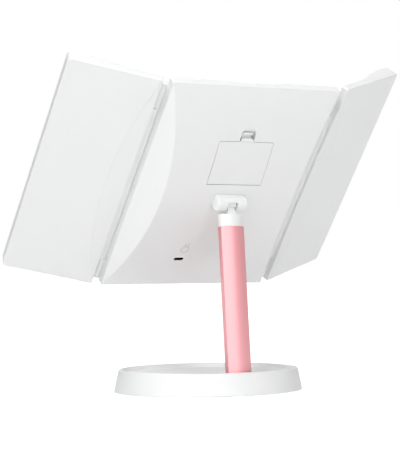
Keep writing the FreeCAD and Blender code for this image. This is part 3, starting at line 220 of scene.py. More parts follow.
looks = {
    "white_gloss": mouldedPlastic("absPolishedTool", "#F0F1F1", glossLook),  # clean white, soft gloss
    "white_matte": mouldedPlastic("absPlainTool", "#E6E6E4", satinLook),  # duller, a little greyer
    "core_plastic": mouldedPlastic("absCoreGrey", "#C9C9C7", satinLook),  # plain grey, seen only inside
    "black_plastic": mouldedPlastic("nylonBlackMoulded", "#040404", inkLook),  # near black, hardly any shine
    "rubber_grey": mouldedPlastic("rubberFootMoulded", "#B4B5B6", softLook),  # soft and dull
    "foam": mouldedPlastic("foamClosedCell", "#3C3D3F", softLook),  # dark and dull
    "mark_grey": mouldedPlastic("absRaisedMark", "#DCDCDB", glossLook),  # faint grey on the white
    "pink_metal": pearlCoatedAluminium("aluminiumPearlRose", {
        "metallic": 0.8, "roughness": 0.5, "coat": 1.0, "coatRoughness": 0.4, "coatIor": 3.4,
        "flakeMm": 0.45, "flake": "#DE6C76", "body": "#D35361", "lean": 6.0, "drawLineMm": 0.5,
        "drawRunMm": 60.0, "lineShade": "#F6F2F2", "lineStrength": 0.06, "lineDepthMm": 0.02}),
    "steel": turnedMetal("steelZincPlated", {
        "roughness": 0.32, "markMm": 0.8, "pale": "#C9CBCE", "dark": "#A4A6A9"}),
    "contact_plate": turnedMetal("steelNickelPlated", {
        "roughness": 0.25, "markMm": 1.2, "pale": "#D6D2C6", "dark": "#B4B0A4"}),
    "cell_wrap": turnedMetal("cellSleeveFoil", {
        "roughness": 0.4, "markMm": 6.0, "pale": "#5E646C", "dark": "#454A51"}),
    "mirror_glass": silveredGlass("glassBackSilvered", {
        "roughness": 0.015, "silver": "#F1F4F4", "shade": "#E9EEEE",
        "waveMm": 90.0, "waveStrength": 0.02, "waveDepthMm": 0.02}),
    "diffuser": frostedDiffuser("acrylicFrosted", {
        "roughness": 0.5, "ior": 1.49, "milk": 0.4, "glowMm": (2.0, 2.0, 1.8), "milkWhite": "#F7F7F3",
        "milkShade": "#EFEFEA", "gritMm": 0.4, "gritStrength": 0.3, "gritDepthMm": 0.03}),
    "circuit_board": wovenBoard("boardWhiteLacquer", {
        "roughness": 0.45, "ior": 1.55, "lacquer": "#E8ECE6", "shade": "#DFE5DC", "line": "#CBD3C8",
        "weaveMm": 2.0, "lineShare": 0.02}),
    "led": mouldedPlastic("ledCastResin", "#F3E3A0", glossLook),  # warm yellow resin
}
print("materials", len(looks))


head = {"axisY": 37.5, "axisZ": 183.0, "lean": 37.6, "backRadius": 375.92, "bulgeCentreY": -379.92,
        "onBackMm": 0.12, "likeBack": 0.992}


# the head's own frame: x across, y out of its back, z up the panel, from the tilt axis
def headPlace():
    turn = Matrix.Rotation(-math.radians(head["lean"]), 4, "X")
    return Matrix.Translation((0, head["axisY"] * mm, head["axisZ"] * mm)) @ turn


# true normal of the curved back, where a face lies on it
def bulgeNormal(place, normal):
    local = headPlace().inverted() @ place
    out = Vector((0, local.y - head["bulgeCentreY"] * mm, local.z))
    if abs(out.length - head["backRadius"] * mm) > head["onBackMm"] * mm:
        return None
    out = (headPlace().to_3x3() @ out).normalized()
    return out if out.dot(normal) > head["likeBack"] else None


# face-weighted normals, kept apart where faces meet at more than the angle; wide flats keep their own
def smoothNormals(mesh, angle, rule=None, flatMm2=60.0, flatAngle=2.0):
    limit = math.cos(math.radians(angle))
    flatLimit = math.cos(math.radians(flatAngle))
    wide = flatMm2 * mm * mm
    mesh.shade_smooth()
    polygons = mesh.polygons
    around = [[] for _ in mesh.vertices]
    for face in polygons:
        for v in face.vertices:
            around[v].append(face.index)
    normals = [Vector((0, 0, 1))] * len(mesh.loops)
    faceNormals = [f.normal.copy() for f in polygons]
    areas = [f.area for f in polygons]
    for face in polygons:
        own = faceNormals[face.index]
        for loopIndex in face.loop_indices:
            v = mesh.loops[loopIndex].vertex_index
            total = Vector((0, 0, 0))
            for other in around[v]:
                near = flatLimit if areas[other] > wide and areas[face.index] > wide else limit
                if faceNormals[other].dot(own) > near:
                    total += faceNormals[other] * areas[other]
            total = total.normalized() if total.length else own
            if rule:
                total = rule(mesh.vertices[v].co, own) or total
            normals[loopIndex] = total
    mesh.normals_split_custom_set(normals)


# round the edges whose faces meet at an angle between low and high
def rollEdges(bm, low, high, widthMm, segments, longerMm=0.0, where=None):
    chosen = []
    for edge in bm.edges:
        if len(edge.link_faces) != 2 or edge.calc_length() < longerMm * mm:
            continue
        bend = math.degrees(edge.calc_face_angle(0))
        if low < bend < high and (where is None or where((edge.verts[0].co + edge.verts[1].co) / 2)):
            chosen.append(edge)
    if chosen:
        bmesh.ops.bevel(bm, geom=chosen, offset=widthMm * mm, segments=segments, profile=0.5, affect="EDGES",
                        clamp_overlap=False, loop_slide=True)


def bodyOf(node):
    return nodes[node]["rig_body"]


slotOf = {entry["node"]: entry["material_slot"] for entry in frame["record"]["subparts"]}


def finishPiece(name, bm, slot, body, replaced, smoothAngle=50, rule=None):
    mesh = bpy.data.meshes.new(name)
    bm.to_mesh(mesh)
    bm.free()
    smoothNormals(mesh, smoothAngle, rule)
    mesh.materials.append(looks[slot])
    piece = bpy.data.objects.new(name, mesh)
    scene.collection.objects.link(piece)
    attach(piece, body)
    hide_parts(*replaced)


# a fine scored line along the shallow bend between a wing's flat back and its scoop
def scoreLine(bm, facing, flat, low, high, nearHinge, widthMm, depthMm):
    toHead = headPlace().inverted()
    outward = headPlace().to_3x3() @ Vector((0, 1, 0))
    back = max(bm.faces, key=lambda face: face.calc_area() if face.normal.dot(outward) > facing else 0)
    plane = back.normal.copy()

    def isScoop(face):
        near = abs((toHead @ face.calc_center_median()).x) < nearHinge * mm
        return near and low < math.degrees(face.normal.angle(plane)) < high

    chosen = []
    for edge in bm.edges:
        if len(edge.link_faces) != 2:
            continue
        bends = [math.degrees(face.normal.angle(plane)) for face in edge.link_faces]
        if min(bends) < flat and any(isScoop(face) for face in edge.link_faces):
            chosen.append(edge)
    made = bmesh.ops.bevel(bm, geom=chosen, offset=widthMm / 2 * mm, segments=2, profile=0.5, affect="EDGES",
                           clamp_overlap=False, loop_slide=True)
    strip = set(made["faces"])
    for vert in {v for face in strip for v in face.verts}:
        if all(face in strip for face in vert.link_faces):
            vert.co -= plane * depthMm * mm
    print("scored edges", len(chosen))


shortestEdge = 0.4  # of the roll's width; a shorter edge stays sharp


# a CAD piece, welded, with its creases rolled and its sharp edges broken
def dressNode(node, name, edgeMm=0.3, segments=2, sharp=55, sharpest=135, creases=None, smoothAngle=50,
              rule=None, where=None, flatAngle=0.3, flatWhere=None, groove=None, limit=None):
    bm = bmesh.new()
    bm.from_mesh(nodes[node].data)
    bmesh.ops.remove_doubles(bm, verts=bm.verts, dist=weldMm * mm)
    edges = [e for e in bm.edges if flatWhere is None or flatWhere(e)]
    verts = [v for v in bm.verts if flatWhere is None or all(flatWhere(e) for e in v.link_edges)]
    bmesh.ops.dissolve_limit(bm, angle_limit=math.radians(flatAngle), verts=verts, edges=edges)
    if groove:
        scoreLine(bm, **groove)
    if creases:
        rollEdges(bm, **creases)
    rollEdges(bm, sharp, sharpest, edgeMm, segments, longerMm=edgeMm * shortestEdge, where=where)
    if limit:
        limit(bm)
    finishPiece(name, bm, slotOf[node], bodyOf(node), [node], smoothAngle, rule)


# quads between rings of equal length, closed at both ends
def ringLoft(rings):
    bm = bmesh.new()
    rows = [[bm.verts.new(p) for p in ring] for ring in rings]
    count = len(rows[0])
    for a, b in zip(rows, rows[1:]):
        for i in range(count):
            j = (i + 1) % count
            bm.faces.new((a[i], a[j], b[j], b[i]))
    bm.faces.new(list(reversed(rows[0])))
    bm.faces.new(rows[-1])
    bmesh.ops.recalc_face_normals(bm, faces=bm.faces)
    return bm


def arcPoints(cx, cy, radius, start, end, steps):
    angles = [math.radians(start + (end - start) * i / steps) for i in range(steps + 1)]
    return [(cx + radius * math.cos(angle), cy + radius * math.sin(angle)) for angle in angles]


# oval tray base, one moulding: profile is (how far in from the skirt's own oval, height)
tray = {"halfLength": 98.2, "halfDepth": 73.4, "rimLength": 93.4, "rimDepth": 69.8, "low": 0.6, "high": 22.2,
        "floor": 17.3, "rim": 3.6, "draft": 1.0, "outerRound": 1.7, "innerRound": 1.5, "skirtRound": 0.6,
        "coveRound": 2.2, "wall": 2.4, "ceiling": 14.9, "floorRings": (20.0, 45.0), "around": 192,
        "skirtSteps": 4, "rimSteps": 8}


def makeTray():
    t = tray
    low, high, floor, steps = t["low"], t["high"], t["floor"], t["rimSteps"]
    skirt, outer, inner, cove = t["skirtRound"], t["outerRound"], t["innerRound"], t["coveRound"]
    foot = t["rim"] + t["draft"]
    profile = [(t["wall"], t["ceiling"]), (t["wall"], low)]
    profile += arcPoints(skirt, low + skirt, skirt, 270, 180, t["skirtSteps"])
    profile += arcPoints(outer, high - outer, outer, 180, 90, steps)
    profile += arcPoints(t["rim"] - inner, high - inner, inner, 90, 0, steps)
    profile += arcPoints(foot + cove, floor + cove, cove, 180, 270, steps)
    profile += [(foot + further, floor) for further in t["floorRings"]]
    lengthLoss = t["halfLength"] - t["rimLength"]
    depthLoss = t["halfDepth"] - t["rimDepth"]
    turns = [2 * math.pi * i / t["around"] for i in range(t["around"])]
    rings = []
    for inset, z in profile:
        rise = (z - low) / (high - low)
        a = t["halfLength"] - rise * lengthLoss - inset
        b = t["halfDepth"] - rise * depthLoss - inset
        rings.append([(a * mm * math.cos(turn), b * mm * math.sin(turn), z * mm) for turn in turns])
    finishPiece("trayBase", ringLoft(rings), "white_gloss", "base", ["base_tray"], smoothAngle=40)


makeTray()
dressNode("base_bottom_plate", "basePlate")
print("base made")

# leaning post: D section, flat to the user, bulged to the back
post = {"halfWidth": 12.9, "side": 3.3, "bulge": 4.0, "corner": 1.3, "leastCorner": 0.2, "lean": 6.0,
        "top": -22.9, "foot": 17.3, "endRound": 0.3, "wall": 1.2, "mouthDepth": 3.0, "bulgeSteps": 28,
        "cornerSteps": 5, "shoulderTurn": 2.2, "shoulderIn": 0.25, "shoulderUp": 0.1, "shoulderDown": 0.5}


# x across, y out of the bulge, z up the leaning post, from the head's tilt axis
def postPoint(x, y, z):
    lean = math.radians(post["lean"])
    return Vector((x, head["axisY"] + y * math.cos(lean) - z * math.sin(lean),
                   head["axisZ"] + y * math.sin(lean) + z * math.cos(lean))) * mm


def dOutline(inset):
    hw, side, bulge = post["halfWidth"] - inset, post["side"] - inset, post["bulge"]
    corner = max(post["corner"] - inset, post["leastCorner"])
    radius = (hw * hw + bulge * bulge) / (2 * bulge)
    half = math.degrees(math.asin(hw / radius)) - post["shoulderTurn"]
    shoulder = (hw - post["shoulderIn"], side + post["shoulderUp"])
    edge = (hw, side - post["shoulderDown"])
    steps = post["cornerSteps"]
    points = arcPoints(0, side + bulge - radius, radius, 90 - half, 90 + half, post["bulgeSteps"])
    points += [(-shoulder[0], shoulder[1]), (-edge[0], edge[1])]
    points += arcPoints(-hw + corner, -side + corner, corner, 180, 270, steps)
    points += arcPoints(hw - corner, -side + corner, corner, 270, 360, steps)
    return points + [edge, shoulder]


def makePost():
    top, wall, endRound = post["top"], post["wall"], post["endRound"]
    mouth = ((wall, top - post["mouthDepth"]), (wall, top), (endRound, top), (0.0, top - endRound))
    rings = [[postPoint(x, y, z) for x, y in dOutline(inset)] for inset, z in mouth]
    lean = math.radians(post["lean"])
    foot = []
    for x, y in dOutline(0.0):
        z = ((post["foot"] - head["axisZ"]) - y * math.sin(lean)) / math.cos(lean)
        foot.append(postPoint(x, y, z))
    rings.append(foot)
    finishPiece("postTube", ringLoft(rings), "pink_metal", "base", ["post_tube"], smoothAngle=30)


makePost()
dressNode("post_collar", "postCollar", edgeMm=0.35, segments=3)
dressNode("tilt_neck", "tiltNeck", edgeMm=0.35, segments=3)
print("post made")


barrelZone = {"halfLength": 30.0, "halfHeight": 20.0}


# outside the opening that the tilt barrel comes through
def clearOfBarrel(place):
    local = headPlace().inverted() @ place
    return abs(local.x) > barrelZone["halfLength"] * mm or abs(local.z) > barrelZone["halfHeight"] * mm


drawnIn = {"pastMm": 0.001, "underMm": 0.01}


# corners of a roll that run past the curved back are drawn in to it
def drawIn(bm):
    place = headPlace()
    toHead = place.inverted()
    centre, radius = head["bulgeCentreY"] * mm, head["backRadius"] * mm
    for vert in bm.verts:
        local = toHead @ vert.co
        reach = math.hypot(local.y - centre, local.z)
        if reach > radius + drawnIn["pastMm"] * mm:
            share = (radius - drawnIn["underMm"] * mm) / reach
            vert.co = place @ Vector((local.x, centre + (local.y - centre) * share, local.z * share))


plainBack = {"facing": 0.9, "lowest": -26.0, "halfHeight": 105.0}
sideFacet = {"nearest": 60.0, "lowest": -27.0}
barrelFoot = -1.0


# both sides of the edge lie on the plain curved back
def onBulge(edge):
    for face in edge.link_faces:
        out = headPlace().to_3x3().inverted() @ face.normal
        local = headPlace().inverted() @ face.calc_center_median()
        away = local.y < plainBack["lowest"] * mm or abs(local.z) > plainBack["halfHeight"] * mm
        if away or out.y < plainBack["facing"]:
            return False
    return True


def proudOfBack(place):
    return (headPlace().inverted() @ place).y > barrelFoot * mm


def onSideFacet(place):
    local = headPlace().inverted() @ place
    return abs(local.x) > sideFacet["nearest"] * mm and local.y > sideFacet["lowest"] * mm


# head shells: long 45-degree creases are rolled wider than the parting edges
facetCrease = {"low": 40, "high": 52, "widthMm": 0.8, "segments": 3, "longerMm": 0.5, "where": onSideFacet}
dressNode("centre_back_shell", "centreBack", creases=facetCrease, smoothAngle=30, rule=bulgeNormal,
          where=clearOfBarrel, flatWhere=onBulge, limit=drawIn)
dressNode("centre_front_frame", "centreFrame")
dressNode("centre_mirror_glass", "centreMirror")
dressNode("tilt_housing", "tiltBarrel", edgeMm=0.25, where=proudOfBack)
dressNode("battery_door", "batteryDoor", edgeMm=0.2, smoothAngle=30, rule=bulgeNormal)
dressNode("plug_mark", "plugMark", edgeMm=0.08)
dressNode("usb_socket", "powerSocket", edgeMm=0.08)
scoopLine = {"facing": 0.5, "flat": 0.5, "low": 5.5, "high": 9.5, "nearHinge": 128.0,
             "widthMm": 1.1, "depthMm": 0.5}
for side in ("right", "left"):
    dressNode("wing_back_shell_" + side, "wingBack_" + side, groove=scoopLine)
    dressNode("wing_front_frame_" + side, "wingFrame_" + side)
    dressNode("wing_mirror_glass_" + side, "wingMirror_" + side)
    dressNode("light_diffuser_" + side, "lightStrip_" + side)
print("head and wings made")

# small parts that repeat: one tree for each kind, set out where the CAD has its solids
fastener = {"Head radius": 2.4 * mm, "Head height": 1.4 * mm, "Dome": 0.35 * mm, "Shank radius": 1.2 * mm,
            "Thread pitch": 0.9 * mm, "Thread depth": 0.12 * mm,
            "Recess length": 2.6 * mm, "Recess width": 0.7 * mm, "Recess depth": 0.8 * mm}
smallFastener = dict(fastener, **{"Head radius": 1.9 * mm, "Shank radius": 0.95 * mm,
                                  "Recess length": 2.0 * mm})
grubFastener = dict(fastener, **{"Head radius": 1.25 * mm, "Dome": 0.1 * mm, "Recess length": 1.6 * mm,
                                 "Recess width": 0.5 * mm})
rubberFoot = {"Radius": 4.0 * mm, "Height": 1.4 * mm, "Edge round": 0.4 * mm}
lightChip = {"Width": 3.0 * mm, "Length": 5.0 * mm, "Height": 1.4 * mm,
             "Window": 0.74, "Window depth": 0.2 * mm}


def openTree(name, sizes):
    tree = bpy.data.node_groups.new(name, "GeometryNodeTree")
    tree.interface.new_socket("Places", in_out="INPUT", socket_type="NodeSocketGeometry")
    for label in sizes:
        tree.interface.new_socket(label, in_out="INPUT", socket_type="NodeSocketFloat")
    tree.interface.new_socket("Turn", in_out="INPUT", socket_type="NodeSocketVector")
    tree.interface.new_socket("Finish", in_out="INPUT", socket_type="NodeSocketMaterial")
    tree.interface.new_socket("Parts", in_out="OUTPUT", socket_type="NodeSocketGeometry")
    return tree, addNode(tree, "NodeGroupInput").outputs


def closeTree(tree, given, part):
    spread = addNode(tree, "GeometryNodeInstanceOnPoints", inputs={
        "Points": given["Places"], "Instance": part, "Rotation": given["Turn"]})
    real = addNode(tree, "GeometryNodeRealizeInstances", inputs={"Geometry": spread.outputs["Instances"]})
    finish = addNode(tree, "GeometryNodeSetMaterial", inputs={
        "Geometry": real.outputs["Geometry"], "Material": given["Finish"]})
    addNode(tree, "NodeGroupOutput", inputs={"Parts": finish.outputs["Geometry"]})
    return tree


def domedDisc(tree, radius, height, drop, power, around):
    disc = addNode(tree, "GeometryNodeMeshCylinder", inputs={
        "Vertices": around, "Side Segments": 1, "Fill Segments": 6, "Radius": radius, "Depth": height})
    place = addNode(tree, "GeometryNodeInputPosition")
    flat = addNode(tree, "ShaderNodeVectorMath", {"operation": "MULTIPLY"}, {
        0: place.outputs[0], 1: (1.0, 1.0, 0.0)})
    out = addNode(tree, "ShaderNodeVectorMath", {"operation": "LENGTH"}, {0: flat.outputs["Vector"]})
    share = addNode(tree, "ShaderNodeMath", {"operation": "DIVIDE"}, {0: out.outputs["Value"], 1: radius})
    curve = addNode(tree, "ShaderNodeMath", {"operation": "POWER"}, {0: share.outputs[0], 1: power})
    fall = addNode(tree, "ShaderNodeMath", {"operation": "MULTIPLY"}, {0: curve.outputs[0], 1: drop})
    down = addNode(tree, "ShaderNodeMath", {"operation": "MULTIPLY"}, {0: fall.outputs[0], 1: -1.0})
    offset = addNode(tree, "ShaderNodeCombineXYZ", inputs={"Z": down.outputs[0]})
    domed = addNode(tree, "GeometryNodeSetPosition", inputs={
        "Geometry": disc.outputs["Mesh"], "Selection": disc.outputs["Top"], "Offset": offset.outputs[0]})
    half = addNode(tree, "ShaderNodeMath", {"operation": "MULTIPLY"}, {0: height, 1: -0.5})
    lower = addNode(tree, "ShaderNodeCombineXYZ", inputs={"Z": half.outputs[0]})
    return addNode(tree, "GeometryNodeTransform", inputs={
        "Geometry": domed.outputs["Geometry"], "Translation": lower.outputs[0]}).outputs["Geometry"]


threadRun = {"start": 1.1, "share": 0.94}  # in head heights under the head, and of the shank's length


def screwTree():
    tree, given = openTree("crossRecessScrew", list(fastener) + ["Length"])
    cap = domedDisc(tree, given["Head radius"], given["Head height"], given["Dome"], 2.0, 24)
    deep = addNode(tree, "ShaderNodeMath", {"operation": "MULTIPLY"}, {0: given["Recess depth"], 1: 2.0})
    barOne = addNode(tree, "ShaderNodeCombineXYZ", inputs={
        "X": given["Recess length"], "Y": given["Recess width"], "Z": deep.outputs[0]})
    barTwo = addNode(tree, "ShaderNodeCombineXYZ", inputs={
        "X": given["Recess width"], "Y": given["Recess length"], "Z": deep.outputs[0]})
    cutOne = addNode(tree, "GeometryNodeMeshCube", inputs={"Size": barOne.outputs[0]})
    cutTwo = addNode(tree, "GeometryNodeMeshCube", inputs={"Size": barTwo.outputs[0]})
    crossed = addNode(tree, "GeometryNodeMeshBoolean", {"operation": "DIFFERENCE", "solver": "EXACT"}, {
        "Mesh 1": cap, "Mesh 2": cutOne.outputs["Mesh"]})
    tree.links.new(cutTwo.outputs["Mesh"], crossed.inputs["Mesh 2"])
    shank = addNode(tree, "GeometryNodeMeshCylinder", inputs={
        "Vertices": 16, "Radius": given["Shank radius"], "Depth": given["Length"]})
    half = addNode(tree, "ShaderNodeMath", {"operation": "MULTIPLY"}, {0: given["Length"], 1: 0.5})
    middle = addNode(tree, "ShaderNodeMath", {"operation": "ADD"}, {
        0: half.outputs[0], 1: given["Head height"]})
    below = addNode(tree, "ShaderNodeMath", {"operation": "MULTIPLY"}, {0: middle.outputs[0], 1: -1.0})
    drop = addNode(tree, "ShaderNodeCombineXYZ", inputs={"Z": below.outputs[0]})
    lowered = addNode(tree, "GeometryNodeTransform", inputs={
        "Geometry": shank.outputs["Mesh"], "Translation": drop.outputs[0]})
    turns = addNode(tree, "ShaderNodeMath", {"operation": "DIVIDE"}, {
        0: given["Length"], 1: given["Thread pitch"]})
    back = addNode(tree, "ShaderNodeMath", {"operation": "MULTIPLY"}, {
        0: given["Length"], 1: -threadRun["share"]})
    helix = addNode(tree, "GeometryNodeCurveSpiral", inputs={
        "Resolution": 14, "Rotations": turns.outputs[0], "Start Radius": given["Shank radius"],
        "End Radius": given["Shank radius"], "Height": back.outputs[0]})
    ridge = addNode(tree, "GeometryNodeCurvePrimitiveCircle", inputs={
        "Resolution": 4, "Radius": given["Thread depth"]})
    thread = addNode(tree, "GeometryNodeCurveToMesh", inputs={
        "Curve": helix.outputs["Curve"], "Profile Curve": ridge.outputs["Curve"], "Fill Caps": True})
    start = addNode(tree, "ShaderNodeMath", {"operation": "MULTIPLY"}, {
        0: given["Head height"], 1: -threadRun["start"]})
    threadPlace = addNode(tree, "ShaderNodeCombineXYZ", inputs={"Z": start.outputs[0]})
    threaded = addNode(tree, "GeometryNodeTransform", inputs={
        "Geometry": thread.outputs["Mesh"], "Translation": threadPlace.outputs[0]})
    whole = addNode(tree, "GeometryNodeJoinGeometry", inputs={"Geometry": crossed.outputs["Mesh"]})
    tree.links.new(lowered.outputs["Geometry"], whole.inputs["Geometry"])
    tree.links.new(threaded.outputs["Geometry"], whole.inputs["Geometry"])
    return closeTree(tree, given, whole.outputs["Geometry"])


def footTree():
    tree, given = openTree("rubberFoot", rubberFoot)
    pad = domedDisc(tree, given["Radius"], given["Height"], given["Edge round"], 9.0, 48)
    return closeTree(tree, given, pad)


def chipTree():
    tree, given = openTree("lightChip", lightChip)
    size = addNode(tree, "ShaderNodeCombineXYZ", inputs={
        "X": given["Width"], "Y": given["Length"], "Z": given["Height"]})
    block = addNode(tree, "GeometryNodeMeshCube", inputs={"Size": size.outputs[0]})
    facing = addNode(tree, "GeometryNodeInputNormal")
    upward = addNode(tree, "ShaderNodeSeparateXYZ", inputs={"Vector": facing.outputs[0]})
    front = addNode(tree, "FunctionNodeCompare", {"data_type": "FLOAT", "operation": "GREATER_THAN"}, {
        0: upward.outputs["Z"], 1: 0.5})
    border = addNode(tree, "GeometryNodeExtrudeMesh", {"mode": "FACES"}, {
        "Mesh": block.outputs["Mesh"], "Selection": front.outputs[0], "Offset Scale": 0.0})
    window = addNode(tree, "GeometryNodeScaleElements", {"domain": "FACE"}, {
        "Geometry": border.outputs["Mesh"], "Selection": border.outputs["Top"], "Scale": given["Window"]})
    sink = addNode(tree, "ShaderNodeMath", {"operation": "MULTIPLY"}, {0: given["Window depth"], 1: -1.0})
    sunk = addNode(tree, "GeometryNodeExtrudeMesh", {"mode": "FACES"}, {
        "Mesh": window.outputs["Geometry"], "Selection": border.outputs["Top"],
        "Offset Scale": sink.outputs[0]})
    half = addNode(tree, "ShaderNodeMath", {"operation": "MULTIPLY"}, {0: given["Height"], 1: -0.5})
    lower = addNode(tree, "ShaderNodeCombineXYZ", inputs={"Z": half.outputs[0]})
    placed = addNode(tree, "GeometryNodeTransform", inputs={
        "Geometry": sunk.outputs["Mesh"], "Translation": lower.outputs[0]})
    return closeTree(tree, given, placed.outputs["Geometry"])


# the middle of each loose solid's outer end, seen along the way it faces
def outerEnds(node, facing):
    bm = bmesh.new()
    bm.from_mesh(nodes[node].data)
    bmesh.ops.remove_doubles(bm, verts=bm.verts, dist=weldMm * mm)
    turn = facing.to_track_quat("Z", "Y")
    seen = set()
    ends = []
    for start in bm.verts:
        if start in seen:
            continue
        seen.add(start)
        island = [start]
        for vert in island:
            for edge in vert.link_edges:
                other = edge.other_vert(vert)
                if other not in seen:
                    seen.add(other)
                    island.append(other)
        spots = [turn.inverted() @ vert.co for vert in island]
        middle = [(min(s[k] for s in spots) + max(s[k] for s in spots)) / 2 for k in (0, 1)]
        ends.append(turn @ Vector((*middle, max(s[2] for s in spots))))
    bm.free()
    return ends, turn


def setOut(node, name, tree, sizes, facing, smoothAngle=40):
    ends, turn = outerEnds(node, Vector(facing).normalized())
    mesh = bpy.data.meshes.new(name)
    mesh.from_pydata(ends, [], [])
    piece = bpy.data.objects.new(name, mesh)
    scene.collection.objects.link(piece)
    modifier = piece.modifiers.new("setOut", "NODES")
    modifier.node_group = tree
    values = dict(sizes, Turn=tuple(turn.to_euler()), Finish=looks[slotOf[node]])
    for socket in tree.interface.items_tree:
        if socket.in_out == "INPUT" and socket.name in values:
            modifier[socket.identifier] = values[socket.name]
    bpy.context.view_layer.update()
    made = bpy.data.meshes.new_from_object(piece.evaluated_get(bpy.context.evaluated_depsgraph_get()))
    piece.modifiers.remove(modifier)
    piece.data = made
    smoothNormals(made, smoothAngle)
    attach(piece, bodyOf(node))
    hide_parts(node)
    return len(ends), len(made.polygons)


headOut = headPlace().to_3x3() @ Vector((0, 1, 0))
postUp = (postPoint(0, 0, 1) - postPoint(0, 0, 0)).normalized()
screws, feet, chips = screwTree(), footTree(), chipTree()
repeats = [
    ("plate_screws", "plateScrews", screws, dict(fastener, Length=8.0 * mm), (0, 0, -1)),
    ("post_screws", "postScrews", screws, dict(fastener, Length=11.0 * mm), (0, 0, -1)),
    ("neck_screws", "neckScrews", screws, dict(grubFastener, Length=7.6 * mm), postUp),
    ("board_screws", "boardScrews", screws, dict(smallFastener, Length=4.2 * mm), headOut),
    ("carrier_screws", "carrierScrews", screws, dict(fastener, Length=6.0 * mm), -headOut),
    ("housing_screws", "housingScrews", screws, dict(fastener, Length=4.2 * mm), -headOut),
    ("base_feet", "rubberFeet", feet, rubberFoot, (0, 0, -1)),
    ("led_chips_right", "lightChips_right", chips, lightChip, -headOut),
    ("led_chips_left", "lightChips_left", chips, lightChip, -headOut),
]
for entry in repeats:
    print(entry[1], setOut(*entry))

# every other CAD piece keeps its shape and gets its finish
for name, node in nodes.items():
    node.data.materials.clear()
    node.data.materials.append(looks[slotOf[name]])
print("finishes on CAD pieces", len(nodes))


# metres, and light levels where 1 is white
studio = {"floor": "#FFFFFF", "floorSize": 6.0, "floorGlow": 0.7, "floorNear": 0.5, "floorFar": 1.6,
          "world": "#FFFFFF", "worldForObject": 0.1, "worldSeen": 1.0, "worldBehind": 0.6,
          "brightSide": -0.95, "dimSide": 0.3, "aim": (0.0, 0.03, 0.17), "lampAway": 2.6, "lampWide": 1.0}
# each lamp: degrees to the camera's left, degrees up, how bright white plastic gets
lamps = {
    "keySoftbox": (-8.0, 10.0, 0.065),
    "sideSoftbox": (-35.0, 10.0, 0.072),
    "fillSoftbox": (20.0, 10.0, 0.07),
    "highSoftbox": (22.0, 46.0, 0.515),
    "rightSoftbox": (-30.0, 50.0, 0.2),
    "topSoftbox": (0.0, 88.0, 0.2),
    "farSoftbox": (170.0, 35.0, 0.1),
}
# the camera's place and axes, in metres
view = {"place": (0.871289, 1.467589, 0.150123), "right": (-0.862624, 0.505843, 0.00195),
        "up": (0.005224, 0.005053, 0.999974), "ahead": (-0.505819, -0.862611, 0.007001),
        "lensMm": 139.30, "sensorMm": 36.0, "nearest": 0.05, "furthest": 60.0}


def makeFloor():
    bm = bmesh.new()
    bmesh.ops.create_grid(bm, x_segments=8, y_segments=8, size=studio["floorSize"])
    mesh = bpy.data.meshes.new("studioFloor")
    bm.to_mesh(mesh)
    bm.free()
    material = bpy.data.materials.new("paperSweep")
    material.use_nodes = True
    tree = material.node_tree
    tree.nodes.remove(tree.nodes["Principled BSDF"])
    out = tree.nodes["Material Output"]
    path = addNode(tree, "ShaderNodeLightPath")
    paper = addNode(tree, "ShaderNodeBsdfDiffuse", inputs={"Color": hexColour(studio["floor"])})
    place = addNode(tree, "ShaderNodeTexCoord")
    away = addNode(tree, "ShaderNodeVectorMath", {"operation": "LENGTH"}, {0: place.outputs["Object"]})
    level = addNode(tree, "ShaderNodeMapRange", inputs={
        "Value": away.outputs["Value"], "From Min": studio["floorNear"], "From Max": studio["floorFar"],
        "To Min": studio["floorGlow"], "To Max": 1.0})
    glow = addNode(tree, "ShaderNodeEmission", inputs={
        "Color": hexColour(studio["floor"]), "Strength": level.outputs["Result"]})
    both = addNode(tree, "ShaderNodeAddShader", inputs={0: paper.outputs[0], 1: glow.outputs[0]})
    seen = addNode(tree, "ShaderNodeMath", {"operation": "MAXIMUM"}, {
        0: path.outputs["Is Camera Ray"], 1: path.outputs["Is Glossy Ray"]})
    mix = addNode(tree, "ShaderNodeMixShader", inputs={
        "Fac": seen.outputs[0], 1: paper.outputs[0], 2: both.outputs[0]})
    tree.links.new(mix.outputs[0], out.inputs["Surface"])
    mesh.materials.append(material)
    floor = bpy.data.objects.new("studioFloor", mesh)
    scene.collection.objects.link(floor)


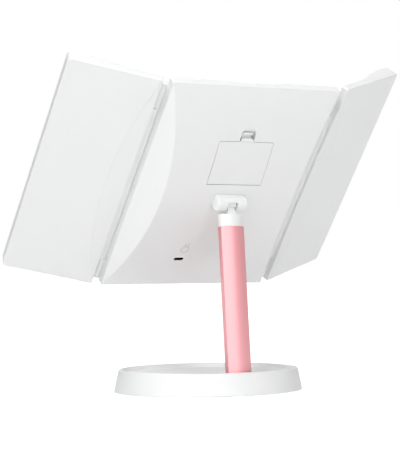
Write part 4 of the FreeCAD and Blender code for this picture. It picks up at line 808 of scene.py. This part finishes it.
def makeWorld():
    # white to the eye; mirrors and metal see it dimmer behind the object, which shows their form
    world = bpy.data.worlds.new("whiteRoom")
    scene.world = world
    world.use_nodes = True
    tree = world.node_tree
    back = tree.nodes["Background"]
    path = addNode(tree, "ShaderNodeLightPath")
    place = addNode(tree, "ShaderNodeTexCoord")
    behind = (view["ahead"][0], view["ahead"][1], 0.0)
    side = addNode(tree, "ShaderNodeVectorMath", {"operation": "DOT_PRODUCT"}, {
        0: place.outputs["Generated"], 1: behind})
    mirrored = addNode(tree, "ShaderNodeMapRange", inputs={
        "Value": side.outputs["Value"], "From Min": studio["brightSide"], "From Max": studio["dimSide"],
        "To Min": studio["worldSeen"], "To Max": studio["worldBehind"]})
    direct = addNode(tree, "ShaderNodeMath", {"operation": "MAXIMUM"}, {
        0: path.outputs["Is Camera Ray"], 1: path.outputs["Is Transmission Ray"]})
    shone = addNode(tree, "ShaderNodeMix", {"data_type": "FLOAT"}, {
        "Factor": path.outputs["Is Glossy Ray"], "A": studio["worldForObject"],
        "B": mirrored.outputs["Result"]})
    level = addNode(tree, "ShaderNodeMix", {"data_type": "FLOAT"}, {
        "Factor": direct.outputs[0], "A": shone.outputs["Result"], "B": studio["worldSeen"]})
    back.inputs["Color"].default_value = hexColour(studio["world"])
    tree.links.new(level.outputs["Result"], back.inputs["Strength"])


def makeLamp(name, left, rise, level):
    back = -Vector(view["ahead"])
    turned = Matrix.Rotation(-math.radians(left), 3, "Z") @ Vector((back.x, back.y, 0)).normalized()
    up = math.radians(rise)
    towards = turned * math.cos(up) + Vector((0, 0, math.sin(up)))
    data = bpy.data.lights.new(name, "AREA")
    data.shape = "DISK"
    data.size = studio["lampWide"]
    data.energy = level * (math.pi * studio["lampAway"]) ** 2
    piece = bpy.data.objects.new(name, data)
    scene.collection.objects.link(piece)
    piece.location = Vector(studio["aim"]) + towards * studio["lampAway"]
    piece.rotation_euler = towards.to_track_quat("Z", "Y").to_euler()


makeFloor()
makeWorld()
for name, lamp in lamps.items():
    makeLamp(name, *lamp)
print("studio lit with", len(lamps), "lamps")

cameraData = bpy.data.cameras.new("camera")
cameraData.sensor_fit = "VERTICAL"
cameraData.sensor_height = view["sensorMm"]
cameraData.lens = view["lensMm"]
cameraData.clip_start = view["nearest"]
cameraData.clip_end = view["furthest"]
camera = bpy.data.objects.new("camera", cameraData)
scene.collection.objects.link(camera)
turn = Matrix((view["right"], view["up"], [-v for v in view["ahead"]])).transposed()
camera.matrix_world = Matrix.Translation(view["place"]) @ turn.to_4x4()
scene.camera = camera

print("scene ready")
